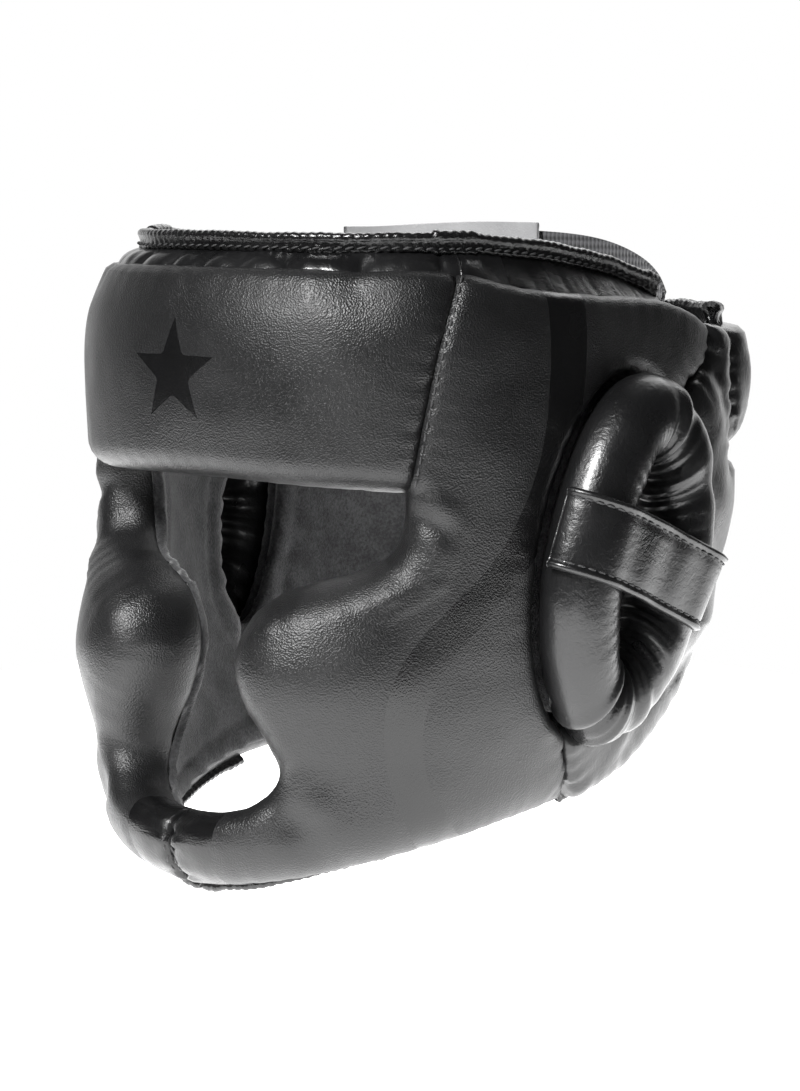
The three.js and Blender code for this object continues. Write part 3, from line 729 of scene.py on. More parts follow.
def pad_depths(pattern, panel, thick):
    """Where each point of the flat pattern ends up: its chart place and its depth below the form."""
    fields = pattern.fields()
    d_free, t_free, row_free = fields["free"]
    d_seam, t_seam, row_seam = fields["seam"]
    radius = pattern.along(pattern.loop_values("round", 10), row_free, t_free)
    share = np.clip(d_free / radius, 0, 1)
    turn = share * math.pi / 2
    inset = radius * (1 - np.cos(turn))
    moved = pattern.flat.copy()
    near = (d_free < radius) & (d_free > 1e-6)
    starts = pattern.flat[np.array(pattern.edge_starts)[row_free]]
    ends = pattern.flat[np.array(pattern.edge_ends)[row_free]]
    foot = starts + (ends - starts) * t_free[:, None]
    scale = np.where(near, inset / np.maximum(d_free, 1e-6), 1)
    moved = np.where(near[:, None], foot + (pattern.flat - foot) * scale[:, None], moved)
    drop = pattern.along(pattern.loop_values("drop", 10), row_free, t_free)
    depth = -np.minimum(drop, thick - 3) * (1 - np.sin(turn))
    groove = pattern.along(pattern.loop_values("groove"), row_seam, t_seam)
    depth -= groove * (0.72 * np.exp(-d_seam / 1.9) + 0.28 * bump_at(d_seam, 9))
    pucker_free = pattern.along(pattern.loop_values("pucker"), row_free, t_free)
    pucker_seam = pattern.along(pattern.loop_values("pucker"), row_seam, t_seam)
    at_free = pattern.edge_at[row_free] + t_free
    at_seam = pattern.edge_at[row_seam] + t_seam
    depth += pucker_free * pucker_wave(at_free) * np.exp(-d_free / 6.5) * 0.8
    depth += pucker_seam * pucker_wave(at_seam, 6.5) * np.exp(-d_seam / 5)
    calm = 1 - np.exp(-np.minimum(d_free, d_seam) / 6)
    uneven = rough(pattern.flat, 30, 3.0) + 0.5 * rough(pattern.flat, 13, 8.0)
    depth += UNEVEN[panel] * uneven * calm + folds_at(panel, pattern.flat)
    return moved, depth


def closed_pad(pattern, top, top_depth, low_depth, tuck, seam_tuck):
    """The pad as one closed body: its outer sheet, a skirt down each edge, and its inner sheet."""
    count = len(pattern.flat)
    inward = pattern.inward()
    freedom = pattern.loop_values("free", 2)
    points = [on_form(top[:, 0] / MM_PER_DEGREE, top[:, 1], top_depth)]
    faces = [tuple(f) for f in pattern.faces.tolist()]
    marks = list(pattern.marks)
    lower = pattern.flat.copy()
    fields = pattern.fields()
    for name, most in (("free", tuck), ("seam", seam_tuck)):
        distance = fields[name][0]
        pull = most * np.clip(1 - distance / FLATTEN, 0, 1)
        starts = pattern.flat[np.array(pattern.edge_starts)[fields[name][2]]]
        ends = pattern.flat[np.array(pattern.edge_ends)[fields[name][2]]]
        foot = starts + (ends - starts) * fields[name][1][:, None]
        way = pattern.flat - foot
        length = np.linalg.norm(way, axis=1, keepdims=True)
        way = np.where(length > 1e-6, way / np.maximum(length, 1e-6), 0)
        lower = lower + way * pull[:, None]
    for loop in pattern.loops:
        rim = np.array(loop)
        free = np.array([freedom[i] for i in loop])
        lower[rim] = pattern.flat[rim] + inward[rim] * (seam_tuck + (tuck - seam_tuck) * free)[:, None]
    bottom_first = count
    points.append(on_form(lower[:, 0] / MM_PER_DEGREE, lower[:, 1], low_depth))
    faces += [tuple(bottom_first + i for i in reversed(f)) for f in pattern.faces.tolist()]
    marks += [0] * len(pattern.faces)
    total = 2 * count
    for loop in pattern.loops:
        rim = np.array(loop)
        previous = rim
        for ring in range(1, SKIRT_RINGS + 1):
            if ring == SKIRT_RINGS:
                current = rim + bottom_first
            else:
                turn = ring / SKIRT_RINGS * math.pi / 2
                place = top[rim] + (lower[rim] - top[rim]) * (1 - math.cos(turn))
                depth = top_depth[rim] + (low_depth - top_depth[rim]) * math.sin(turn)
                points.append(on_form(place[:, 0] / MM_PER_DEGREE, place[:, 1], depth))
                current = np.arange(total, total + len(rim))
                total += len(rim)
            after, before = np.roll(current, -1), np.roll(previous, -1)
            faces += list(zip(previous.tolist(), current.tolist(), after.tolist(), before.tolist()))
            marks += [0] * len(rim)
            previous = current
    return np.vstack(points), faces, marks


def pads(panel, nodes, thick, materials, sides, spacing, hole=None, prints=()):
    """Makes one panel's padded leather piece, and its mirror image where `sides` asks for it."""
    pattern = FlatPattern(panel, spacing, hole, prints)
    moved, depth = pad_depths(pattern, panel, thick)
    points, faces, marks = closed_pad(pattern, moved, depth, -thick, TUCK, SEAM_TUCK)
    for side in sides:
        here = on_side(points, side)
        own_faces = outward(here, faces)
        piece = new_piece(f"{panel}_pad{side}", here, own_faces, materials, marks)
        declare(piece, "shell", [n + side for n in nodes])
    return pattern, moved, depth


def linings(panel, nodes, thick, sides, hole=None):
    """The suede lining of one panel, thinly wadded, with a sewn line a little way inside its edge."""
    pattern = FlatPattern(panel, LINING_SPACING, hole)
    fields = pattern.fields()
    edge = np.minimum(fields["free"][0], fields["seam"][0] + 4)
    quilt = 1.3 * bump_at(fields["free"][0] - 13, 1.5)
    wave = 0.35 * pucker_wave(pattern.edge_at[fields["free"][2]], 9) * np.exp(-fields["free"][0] / 6)
    crown = 1.8 * np.clip(edge / 5, 0, 1) ** 0.5
    low = -thick - 1.8 - crown + quilt - wave - 0.5 * rough(pattern.flat, 18, 5.0)
    top = np.full(len(pattern.flat), -thick + 0.4)
    shrunk = pattern.flat.copy()
    inward = pattern.inward()
    free = pattern.loop_values("free", 2)
    for rim, freedom in free.items():
        shrunk[rim] = pattern.flat[rim] + inward[rim] * (0.2 + 2.6 * freedom)
    points, faces = closed_pad_between(pattern, shrunk, top, low)
    for side in sides:
        here = on_side(points, side)
        piece = new_piece(f"{panel}_lining_sheet{side}", here, outward(here, faces), [SUEDE])
        declare(piece, "shell", [n + side for n in nodes])


def closed_pad_between(pattern, place, top, low):
    """A closed body between two depths over the same chart places."""
    count = len(place)
    degrees = place[:, 0] / MM_PER_DEGREE
    points = np.vstack([on_form(degrees, place[:, 1], top), on_form(degrees, place[:, 1], low)])
    faces = [tuple(f) for f in pattern.faces.tolist()]
    faces += [tuple(count + i for i in reversed(f)) for f in pattern.faces.tolist()]
    for loop in pattern.loops:
        for i, here in enumerate(loop):
            there = loop[(i + 1) % len(loop)]
            faces.append((here, here + count, there + count, there))
    return points, faces


PAD_SPACING = 2.1
LINING_SPACING = 3.4
BOTH = ("_left", "_right")

# ---------------------------------------------------------------- stitches

STITCH = {"pitch": 3.9, "length": 2.9, "radius": 0.42, "sink": 0.1}
CAPSULE = [(-1.0, 0.35), (-0.72, 0.9), (0.0, 1.0), (0.72, 0.9), (1.0, 0.35)]
CAPSULE_SIDES = 6


def stitch_row(points, normals, lean=0.0):
    """Small capsules laid along a line on a surface. Returns their points and faces."""
    points, normals = np.asarray(points, float), np.asarray(normals, float)
    lengths = np.r_[0, np.cumsum(np.linalg.norm(np.diff(points, axis=0), axis=1))]
    count = max(1, int(lengths[-1] / STITCH["pitch"]))
    made, faces = [], []
    for i in range(count):
        middle_at = (i + 0.5) * lengths[-1] / count
        at = [middle_at - STITCH["length"] / 2, middle_at + STITCH["length"] / 2]
        start, end = (np.array([np.interp(a, lengths, points[:, k]) for k in range(3)]) for a in at)
        normal = np.array([np.interp(middle_at, lengths, normals[:, k]) for k in range(3)])
        normal /= np.linalg.norm(normal)
        along = end - start
        along /= max(np.linalg.norm(along), 1e-9)
        across = np.cross(normal, along)
        along = along * math.cos(lean) + across * math.sin(lean)
        across = np.cross(normal, along)
        middle = (start + end) / 2 + normal * STITCH["sink"]
        first = len(made)
        for share, wide in CAPSULE:
            for k in range(CAPSULE_SIDES):
                angle = 2 * math.pi * k / CAPSULE_SIDES
                ring = across * math.cos(angle) + normal * math.sin(angle)
                dip = -0.35 * share * share
                made.append(middle + along * share * STITCH["length"] / 2 + normal * dip
                            + ring * STITCH["radius"] * wide)
        faces += [tuple(first + v for v in face) for face in tube_faces(len(CAPSULE), CAPSULE_SIDES)]
    return np.array(made), faces


def stitches(name, rows, sides, body="shell"):
    """One piece of thread for several rows of stitches, mirrored for the right side where asked."""
    points, faces = [], []
    total = 0
    for row_points, row_faces in rows:
        points.append(row_points)
        faces += [tuple(total + v for v in face) for face in row_faces]
        total += len(row_points)
    points = np.vstack(points)
    for side in sides:
        here = on_side(points, side)
        own_faces = turn_faces(faces) if side == "_right" else faces
        piece = new_piece(name + side, here, own_faces, [THREAD])
        declare(piece, body)


def resting_depth(pad, places):
    """The depth of a pad's leather at chart places, from its nearest points."""
    _, moved, depth = pad
    found = []
    for place in places:
        apart = np.linalg.norm(moved - place, axis=1)
        near = np.argsort(apart, kind="stable")[:3]
        found.append(np.average(depth[near], weights=1 / (apart[near] + 0.3)))
    return np.array(found)


def surface_row(line, out, lean=0.0, pad=None):
    """A stitch row along chart points, `out` mm from the form, or from the pad's leather."""
    line = even_line(line, 1.5)
    degrees, height = line[:, 0] / MM_PER_DEGREE, line[:, 1]
    if pad is not None:
        out = out + resting_depth(pad, line)
    return stitch_row(on_form(degrees, height, out), form_normal(degrees, height), lean)


# ---------------------------------------------------------------- bars and tubes along a line

def frames_along(line, outward_normals):
    """The direction, side and normal at each point of a line that lies on a surface."""
    along = np.gradient(line, axis=0)
    along /= np.linalg.norm(along, axis=1, keepdims=True)
    normals = outward_normals - (outward_normals * along).sum(1, keepdims=True) * along
    normals /= np.linalg.norm(normals, axis=1, keepdims=True)
    return along, np.cross(along, normals), normals


def swept(line, sides, normals, section, closed=False):
    """A tube with section(i) giving [side, normal] corners at point i of the line."""
    points = []
    for i in range(len(line)):
        corners = np.asarray(section(i))
        points.append(line[i] + corners[:, :1] * sides[i] + corners[:, 1:] * normals[i])
    corner_count = len(points[0])
    points = np.vstack(points)
    return points, outward(points, tube_faces(len(line), corner_count, closed))


def strap(name, line, normals, wide, thick, material, body, nodes, hem=0.9, ribs=0.0):
    """A flat strap along a line: hemmed edges stand a little proud, and its face is closed all round."""
    _, sides, normals = frames_along(line, normals)
    half = wide / 2
    across = np.concatenate([
        [-half, -half + 0.25, -half + 1.0, -half + 2.2, -half + 2.9, -half + 3.6],
        np.linspace(-half + 5, half - 5, 9),
        [half - 3.6, half - 2.9, half - 2.2, half - 1.0, half - 0.25, half],
    ])
    edge = half - np.abs(across)
    raised = hem * np.clip(edge / 1.0, 0, 1) * np.exp(-(np.maximum(edge - 1.3, 0) / 1.1) ** 2)
    stitched = -0.35 * hem * bump_at(edge - 3.2, 0.5)
    top = thick * np.clip(0.35 + edge / 0.7, 0.35, 1) + raised + stitched
    ends = np.minimum(np.arange(len(line)), np.arange(len(line))[::-1])

    def section(i):
        thin = 0.55 if ends[i] == 0 else 1.0
        ripple = ribs * np.sin(across * 2.4) + 0.25 * math.sin(i * 0.55) * (hem > 0)
        upper = np.stack([across, (top + ripple) * thin], -1)
        under = np.stack([across[::-1] * 0.995, 0.0 * across], -1)
        return np.vstack([upper, under])

    points, faces = swept(line, sides, normals, section)
    piece = new_piece(name, points, faces, [material])
    declare(piece, body, nodes)
    return sides, normals


def strap_rows(line, sides, normals, wide, lift, inset=3.2):
    rows = []
    for edge in (-1, 1):
        row = line + sides * edge * (wide / 2 - inset) + normals * lift
        rows.append(stitch_row(row, normals))
    return rows


def piping(name, line, normals, material, nodes, scale=1.0, ragged=0.5):
    """A folded binding: a bead on top of a flat double flange, puckered by the row of stitches along it."""
    _, sides, normals = frames_along(line, normals)
    lengths = np.r_[0, np.cumsum(np.linalg.norm(np.diff(line, axis=0), axis=1))]
    bead = np.radians(np.linspace(-40, 220, 9))
    profile = np.vstack([
        [[1.35, -3.2], [1.5, -2.0], [1.25, -0.6], [1.45, 0.4]],
        np.stack([2.15 * np.cos(bead), 2.0 + 1.75 * np.sin(bead)], -1),
        [[-1.45, 0.4], [-1.25, -0.6], [-1.5, -2.0], [-1.35, -3.2]],
    ]) * scale
    lumps = rough(line, 17, 4.0)
    small = rough(line, 4.5, 9.0)

    def section(i):
        s = lengths[i]
        from_end = min(s, lengths[-1] - s)
        thicker = 1 + 0.22 * (from_end < 9) - 0.35 * (from_end < 0.4)
        pleat = ragged * (0.5 * math.sin(2 * math.pi * s / 3.3) + 0.6 * small[i])
        corners = profile * thicker
        low = np.clip((0.8 - corners[:, 1]) / 3, 0, 1)
        twist = np.sin(2 * math.pi * s / 3.9 + 1.4 * corners[:, 1])
        return corners + np.stack([
            np.sign(corners[:, 0]) * (0.45 * ragged * twist * low + 0.25 * pleat) + 0.9 * ragged * lumps[i],
            0.5 * pleat * (corners[:, 1] > 1) + 0.8 * ragged * lumps[i],
        ], -1)

    points, faces = swept(line, sides, normals, section)
    piece = new_piece(name, points, faces, [material])
    declare(piece, "shell", nodes)
    return sides, normals


# ---------------------------------------------------------------- the panels

pads("forehead", ["forehead_cover", "forehead_foam"], PAD_THICK, [MATTE, STRIPE], [""],
     PAD_SPACING, prints=[star_shape()])
side_pad = pads(
    "side", ["side_cover", "temple_foam", "cheek_foam", "chin_foam"], PAD_THICK, [MATTE, STRIPE],
    BOTH, PAD_SPACING, COVER_HOLE, [band_shape(), chart(CHIN_BAND)])
pads("wing", ["wing_cover", "wing_foam"], WING_THICK, [GLOSS], BOTH, PAD_SPACING,
     COVER_HOLE)
pads("back", ["back_cover", "back_foam"], PAD_THICK, [GLOSS], [""], PAD_SPACING)
linings("forehead", ["forehead_lining"], PAD_THICK, [""])
linings("side", ["side_lining"], PAD_THICK, BOTH, LINING_HOLE)
linings("wing", ["wing_lining"], WING_THICK, BOTH, LINING_HOLE)
linings("back", ["back_lining"], PAD_THICK, [""])

# Rows beside the seams, in mm round the form and of height, and how far out they lie.
FOREHEAD_ROW = {"beside": 1.5, "out": -1.35}
CHIN_ROW = {"line": [[1.9, -84], [1.9, -107]], "out": 0.1, "lean": 0.25}


def add_seam_stitches():
    seam = smooth_line(chart(FOREHEAD_SEAM), 3)[1:-1]
    beside = seam + np.array([FOREHEAD_ROW["beside"], 0])
    stitches("forehead_seam_stitches", [surface_row(beside, FOREHEAD_ROW["out"])], BOTH)
    row = surface_row(CHIN_ROW["line"], CHIN_ROW["out"], CHIN_ROW["lean"], side_pad)
    stitches("chin_seam_stitches", [row], BOTH)


add_seam_stitches()

# ---------------------------------------------------------------- ear guards

# turn in degrees, width in degrees, depth in mm, slant, how far the fold keeps to the opening's side
ROLL_FOLDS = [
    (62, 5, 2.8, 0.20, 0.5), (74, 4, 1.6, -0.15, 0.7), (50, 5, 2.2, 0.35, 0.8), (36, 4, 1.5, 0.3, 1.0),
    (24, 5, 2.0, 0.45, 0.5), (88, 4, 1.2, 0.1, 0.9), (-42, 4, 1.6, -0.3, 0.9), (-52, 4, 2.2, -0.25, 0.7),
    (-62, 4, 1.8, -0.2, 0.8), (-74, 5, 2.6, -0.1, 0.6), (-104, 4, 3.2, 0.0, 0.1), (-98, 2, 1.2, 0.1, 0.0),
    (12, 5, 1.2, 0.5, 0.8), (-20, 6, 1.0, -0.2, 0.9), (200, 7, 0.5, 0.1, 0.8), (150, 6, 0.5, 0.1, 0.8),
]
ROLL_TURNS = 220
ROLL_CORNERS = 36
CUSHION = {"middle": 4, "half_wide": 7.2, "out": -13.6, "half_thick": 3.6}


def roll_line(turn, grow=0.0):
    across, up = (ROLL_ACROSS + grow) * np.cos(turn), (ROLL_UP + grow) * np.sin(turn)
    around = across * math.cos(EAR_LEAN) + up * math.sin(EAR_LEAN)
    height = EAR_HEIGHT - across * math.sin(EAR_LEAN) + up * math.cos(EAR_LEAN)
    return EAR_ANGLE + around / MM_PER_DEGREE, height


def ring_mesh(turn_count, corners):
    """A closed ring round the ear opening. corners(turns) gives away and out, as turns by corners."""
    turns = np.linspace(0, 2 * math.pi, turn_count, endpoint=False)
    away, out = corners(turns)
    degrees, height = roll_line(turns[:, None], away)
    points = on_form(degrees, height, out).reshape(-1, 3)
    return points, outward(points, tube_faces(turn_count, away.shape[1], closed=True))


def roll_corners(turns):
    around = np.linspace(0, 2 * math.pi, ROLL_CORNERS, endpoint=False)
    towards = (1 - np.cos(around)) / 2
    degrees = np.degrees(turns)
    radius = np.full((len(turns), ROLL_CORNERS), float(ROLL_RADIUS))
    for turn, width, depth, slant, keep in ROLL_FOLDS:
        lean = slant * np.degrees(np.sin(around)) * 0.35
        off = (degrees[:, None] - turn - lean[None] + 180) % 360 - 180
        share = (1 - keep) + keep * towards[None] ** 1.5
        radius -= depth * share * (bump_at(off, width) - 0.45 * bump_at(np.abs(off) - 2.2 * width, width))
    place = np.stack([
        40 * np.cos(turns)[:, None] + 0 * radius, 60 * np.sin(turns)[:, None] + 8 * np.sin(around)[None],
        8 * np.cos(around)[None] + 0 * radius], -1)
    radius += 0.5 * rough(place, 16, 2.0)
    gather = 0.5 * np.sin(turns[:, None] * 62 + 2 * np.sin(turns[:, None] * 9)) * towards[None] ** 4
    radius += gather
    under = np.clip(-np.sin(around), 0, 1)
    radius = radius * (1 - 0.12 * under[None])
    return radius * np.cos(around)[None], ROLL_LIFT + radius * np.sin(around)[None]


def cushion_corners(turns):
    around = np.linspace(0, 2 * math.pi, 16, endpoint=False)
    c, s = np.cos(around), np.sin(around)
    across = CUSHION["middle"] + CUSHION["half_wide"] * np.sign(c) * np.abs(c) ** 0.6
    out = CUSHION["out"] + CUSHION["half_thick"] * np.sign(s) * np.abs(s) ** 0.7
    wave = 0.3 * np.sin(turns * 40)[:, None]
    return across[None] + wave, out[None] + 0 * wave


def add_ear_guards():
    rolls = ring_mesh(ROLL_TURNS, roll_corners)
    cushions = ring_mesh(120, cushion_corners)
    for side in BOTH:
        for name, (points, faces), material, nodes, slot, fill in (
            ("ear_roll", rolls, GLOSS, ["ear_roll_cover", "ear_roll_foam"], "gloss_leather", 0.9),
            ("ear_inner_ring", cushions, SUEDE, ["ear_inner_cushion"], "suede", 0.6),
        ):
            here = on_side(points, side)
            piece = new_piece(name + side, here, outward(here, faces), [material])
            declare(piece, "shell", [n + side for n in nodes])


add_ear_guards()

EAR_STRAP = {"wide": 29, "slope": 12, "half": 32.1, "wrap": 82, "clear": 1.3, "thick": 1.9, "rear_wrap": 42}


def add_ear_straps():
    """The strap lies across both rolls and its ends turn down beside them."""
    turn = np.radians(np.linspace(EAR_STRAP["wrap"], 0, 12))
    reach = ROLL_RADIUS + EAR_STRAP["clear"]
    front = np.stack([-ROLL_ACROSS - reach * np.sin(turn), ROLL_LIFT + reach * np.cos(turn)], -1)
    turn = np.radians(np.linspace(0, EAR_STRAP["rear_wrap"], 7))
    rear = np.stack([ROLL_ACROSS + reach * np.sin(turn), ROLL_LIFT + reach * np.cos(turn)], -1)
    between = np.linspace(-ROLL_ACROSS, ROLL_ACROSS, 14)[1:-1]
    middle = np.stack([between, np.full(12, ROLL_LIFT + reach)], -1)
    middle[:, 1] -= 1.0 * np.cos(middle[:, 0] / ROLL_ACROSS * math.pi / 2)
    path = np.vstack([front, middle, rear])
    height = EAR_HEIGHT - 1 - path[:, 0] / EAR_STRAP["half"] * EAR_STRAP["slope"]
    around = path[:, 0] + (height - EAR_HEIGHT) * math.tan(EAR_LEAN)
    degrees = EAR_ANGLE + around / MM_PER_DEGREE
    line = on_form(degrees, height, path[:, 1])
    base = on_form(EAR_ANGLE, EAR_HEIGHT, 0.0)
    line = smooth_line(line, 1.6)
    out_way = form_normal(EAR_ANGLE, EAR_HEIGHT)
    length = np.linalg.norm(line[-1] - line[0])
    centres = np.clip((line - base) @ (line[-1] - line[0]) / length, -ROLL_ACROSS, ROLL_ACROSS)
    lean_way = (line[-1] - line[0]) / length
    hub = base + lean_way * centres[:, None] + out_way * ROLL_LIFT
    normals = line - hub
    for side in BOTH:
        here, facing = on_side(line, side), on_side(normals, side)
        sides, up = strap(f"ear_band{side}", here, facing, EAR_STRAP["wide"], EAR_STRAP["thick"], GLOSS,
                          "shell", [f"ear_strap{side}"], hem=1.0)
        rows = strap_rows(here[2:-2], sides[2:-2], up[2:-2], EAR_STRAP["wide"], EAR_STRAP["thick"] + 0.1)
        stitches(f"ear_band_stitches{side}", rows, [""])


add_ear_straps()

# ---------------------------------------------------------------- crown

CROWN_LEVEL = 100
CROWN_IN = 18
CROWN_RIM = np.array([[0, 115], [60, 114.5], [85, 110.5], [105, 105], [122, 97]])
PAD_TOP = np.array([[0, 110], [54.5, 109.2], [65.6, 103.7], [85.6, 99.7], [108, 96.2], [122, 88.5]])
CROWN_JOINT = 55
CROWN_END = 121.5
COLLAR_PRINT = (66, 78)


def crown_point(angle, inward, height):
    edge = form_point(angle, np.full_like(np.asarray(angle, float), CROWN_LEVEL))
    edge[..., 2] = 0
    length = np.linalg.norm(edge, axis=-1, keepdims=True)
    point = edge * (1 - np.asarray(inward)[..., None] / length)
    point[..., 2] = height
    return point


def crown_heights(angle):
    size = np.abs(angle)
    return np.interp(size, CROWN_RIM[:, 0], CROWN_RIM[:, 1]), np.interp(size, PAD_TOP[:, 0], PAD_TOP[:, 1])


def collar(name, start, end, node):
    """The gathered leather between the pads' top edge and the bound rim."""
    count = max(8, int(abs(end - start) * (2.2)))
    angle = np.linspace(start, end, count)
    rim, top = crown_heights(angle)
    along = angle * MM_PER_DEGREE
    gather = np.abs(np.sin(along / 17 * math.pi / 1.35 + 0.9 * np.sin(along / 23))) ** 0.7
    strength = 0.4 + 2.6 / (1 + np.exp((np.abs(angle) - 60) / 3))
    fine = rough(np.stack([along, 0 * along], -1), 5, 6.0)
    steps = np.linspace(0, 1, 13)
    outer, inner = [], []
    for v in steps:
        swellings = math.sin(math.pi * min(1.0, 1.15 * v + 0.02))
        inward = 6.5 + (CROWN_IN - 7.0) * v**1.1 - 0.6 * swellings
        height = top - 5 + (rim - top + 4.0) * v**0.85
        lift = (gather * strength - 1.6) * swellings + 0.5 * fine * swellings
        outer.append(crown_point(angle, inward - 0.55 * lift, height + 0.75 * lift))
        inner.append(crown_point(angle, inward + 3.4 - 1.0 * v, height - 2.6 - 0.5 * (1 - v)))
    section = np.stack(outer + inner[::-1], 1)
    corners = section.shape[1]
    points = section.reshape(-1, 3)
    faces = tube_faces(count, corners)
    marks = np.zeros(len(faces), int)
    for i in range(count - 1):
        printed = COLLAR_PRINT[0] < abs(angle[i]) < COLLAR_PRINT[1]
        marks[i * corners:(i + 1) * corners] = printed
    piece = new_piece(name, points, outward(points, faces), [GLOSS, STRIPE], marks)
    declare(piece, "shell", [node])


collar("crown_collar_front", -CROWN_JOINT, CROWN_JOINT, "crown_band_front")
collar("crown_collar_left", CROWN_JOINT, CROWN_END, "crown_band_left")
collar("crown_collar_right", -CROWN_END, -CROWN_JOINT, "crown_band_right")


def crown_binding(name, start, end, node):
    angle = np.linspace(start, end, max(8, int(abs(end - start) * MM_PER_DEGREE / 0.8)))
    rim, _ = crown_heights(angle)
    wander = 0.5 * rough(np.stack([angle * MM_PER_DEGREE, 0 * angle], -1), 30, 7.0)
    line = crown_point(angle, CROWN_IN - 1.4 + wander, rim + 0.9 + wander)
    up = np.tile([0.0, 0.0, 1.0], (len(line), 1))
    sides, normals = piping(name, line, up, TRIM, [node], ragged=0.6)
    outwards = np.sign((line * sides).sum(1))[:, None] * sides
    row = line + outwards * 1.75 - normals * 1.6
    stitches(f"{name}_stitches", [stitch_row(row, outwards, 0.25)], [""])


crown_binding("crown_trim_front", -CROWN_JOINT, CROWN_JOINT, "crown_binding_front")
crown_binding("crown_trim_left", CROWN_JOINT - 1, CROWN_END, "crown_binding_left")
crown_binding("crown_trim_right", -CROWN_END, -CROWN_JOINT + 1, "crown_binding_right")


RIM_TRIM_SCALE = 0.75
JAW_TRIM = {"in": 5.6, "beyond": 0.2}
NECK_TRIM = {"in": 4.6, "beyond": 1.2}
BACK_TRIM = {"from": 133.5, "to": 226.5, "height": 87.2, "out": -9.5}


def rim_trim(name, line, out, nodes, side, beyond):
    """Binding along the lower edge of a pad, at chart points."""
    flat = smooth_line(chart(line), 0.9)
    here = on_form(flat[:, 0] / MM_PER_DEGREE, flat[:, 1] - beyond, out)
    down = on_form(flat[:, 0] / MM_PER_DEGREE, flat[:, 1] - beyond - 2, out) - here
    here, down = on_side(here, side), on_side(down, side)
    piping(name + side, here, down, TRIM, [n + side for n in nodes], scale=RIM_TRIM_SCALE, ragged=0.6)


for side in BOTH:
    rim_trim("jaw_trim", JAW_RIM, -PAD_THICK + JAW_TRIM["in"], ["jaw_binding"], side, JAW_TRIM["beyond"])
    rim_trim("neck_trim", [REAR_SEAM[-1]] + NECK_RIM[:-1], -WING_THICK + NECK_TRIM["in"], ["neck_binding"],
             side, NECK_TRIM["beyond"])


def add_back_trim():
    angle = np.linspace(BACK_TRIM["from"], BACK_TRIM["to"], 150)
    wander = 1.3 * rough(np.stack([angle, angle * 0], -1), 9, 3.0)
    line = on_form(angle, BACK_TRIM["height"] + wander, BACK_TRIM["out"])
    up = np.tile([0.0, 0.0, 1.0], (len(line), 1))
    piping("back_trim", line, up, TRIM, ["back_binding"], scale=1.35, ragged=1.5)


add_back_trim()

# ---------------------------------------------------------------- straps

STRAP_THICK = 2.0
PATCH_THICK = 1.0
TOUCH_GAP = 0.4
FLAP_ARC = [[-12, 93, 0], [-42, 90, 0], [-64, 82, 1], [-78, 70, 2], [-85, 58, 2]]
WEBBING_ARC = [
    [56, 78, 20], [45, 85, 12], [30, 90, 6], [12, 93, 2], [-12, 93, 0], [-42, 90, 0], [-64, 82, 1],
]
CROWN_STRAP_WIDE = 22
FLAP_HEIGHT = 109
WEBBING_HEIGHT = 105.5


def crown_strap_line(path, height, lift):
    arc = np.array(path, float)
    outward_way = np.stack([arc[:, 0] / 1.6, arc[:, 1] - 20, 0 * arc[:, 0]], -1)
    outward_way /= np.linalg.norm(outward_way, axis=1, keepdims=True)
    line = np.stack([arc[:, 0], arc[:, 1], height - arc[:, 2]], -1) + outward_way * lift
    smooth = smooth_line(np.hstack([line, outward_way]), 1.5)
    return smooth[:, :3], smooth[:, 3:]


def add_crown_straps():
    flap, flap_way = crown_strap_line(FLAP_ARC, FLAP_HEIGHT, 0)
    sides, up = strap("crown_tab", flap, flap_way, CROWN_STRAP_WIDE, STRAP_THICK, TAB, "crown_flap",
                      ["crown_flap"], hem=0.35)
    end = [flap[2] + sides[2] * w + up[2] * (STRAP_THICK + TOUCH_GAP) for w in np.linspace(-9.5, 9.5, 24)]
    zigzag = stitch_row(np.array(end), np.tile(up[2], (24, 1)), 0.5)
    rows = strap_rows(flap[2:-1], sides[2:-1], up[2:-1], CROWN_STRAP_WIDE, STRAP_THICK + 0.15, 2.6)
    stitches("crown_tab_stitches", [zigzag] + rows, [""], "crown_flap")
    web, web_way = crown_strap_line(WEBBING_ARC, WEBBING_HEIGHT, 3.8)
    strap("crown_webbing_band", web, web_way, CROWN_STRAP_WIDE, STRAP_THICK, WEBBING, "shell",
          ["crown_webbing"], hem=0.0, ribs=0.12)
    hooks, hooks_way = crown_strap_line(FLAP_ARC[:3], WEBBING_HEIGHT, 2.4)
    strap("crown_hooks", hooks, hooks_way, CROWN_STRAP_WIDE - 2, PATCH_THICK, HOOKS, "crown_flap",
          ["crown_hook_patch"], hem=0.0)


add_crown_straps()

CLOSURE = {
    "from": 151, "to": 216, "patch": 199, "hooks_to": 214, "loops_to": 226,
    "low": -18, "high": 26, "out": 3.6,
}


def band_line(start, end, out):
    angle = np.linspace(start, end, int((end - start) * 1.3))
    middle = (CLOSURE["low"] + CLOSURE["high"]) / 2
    return on_form(angle, np.full_like(angle, middle), out), form_normal(angle, np.full_like(angle, middle))


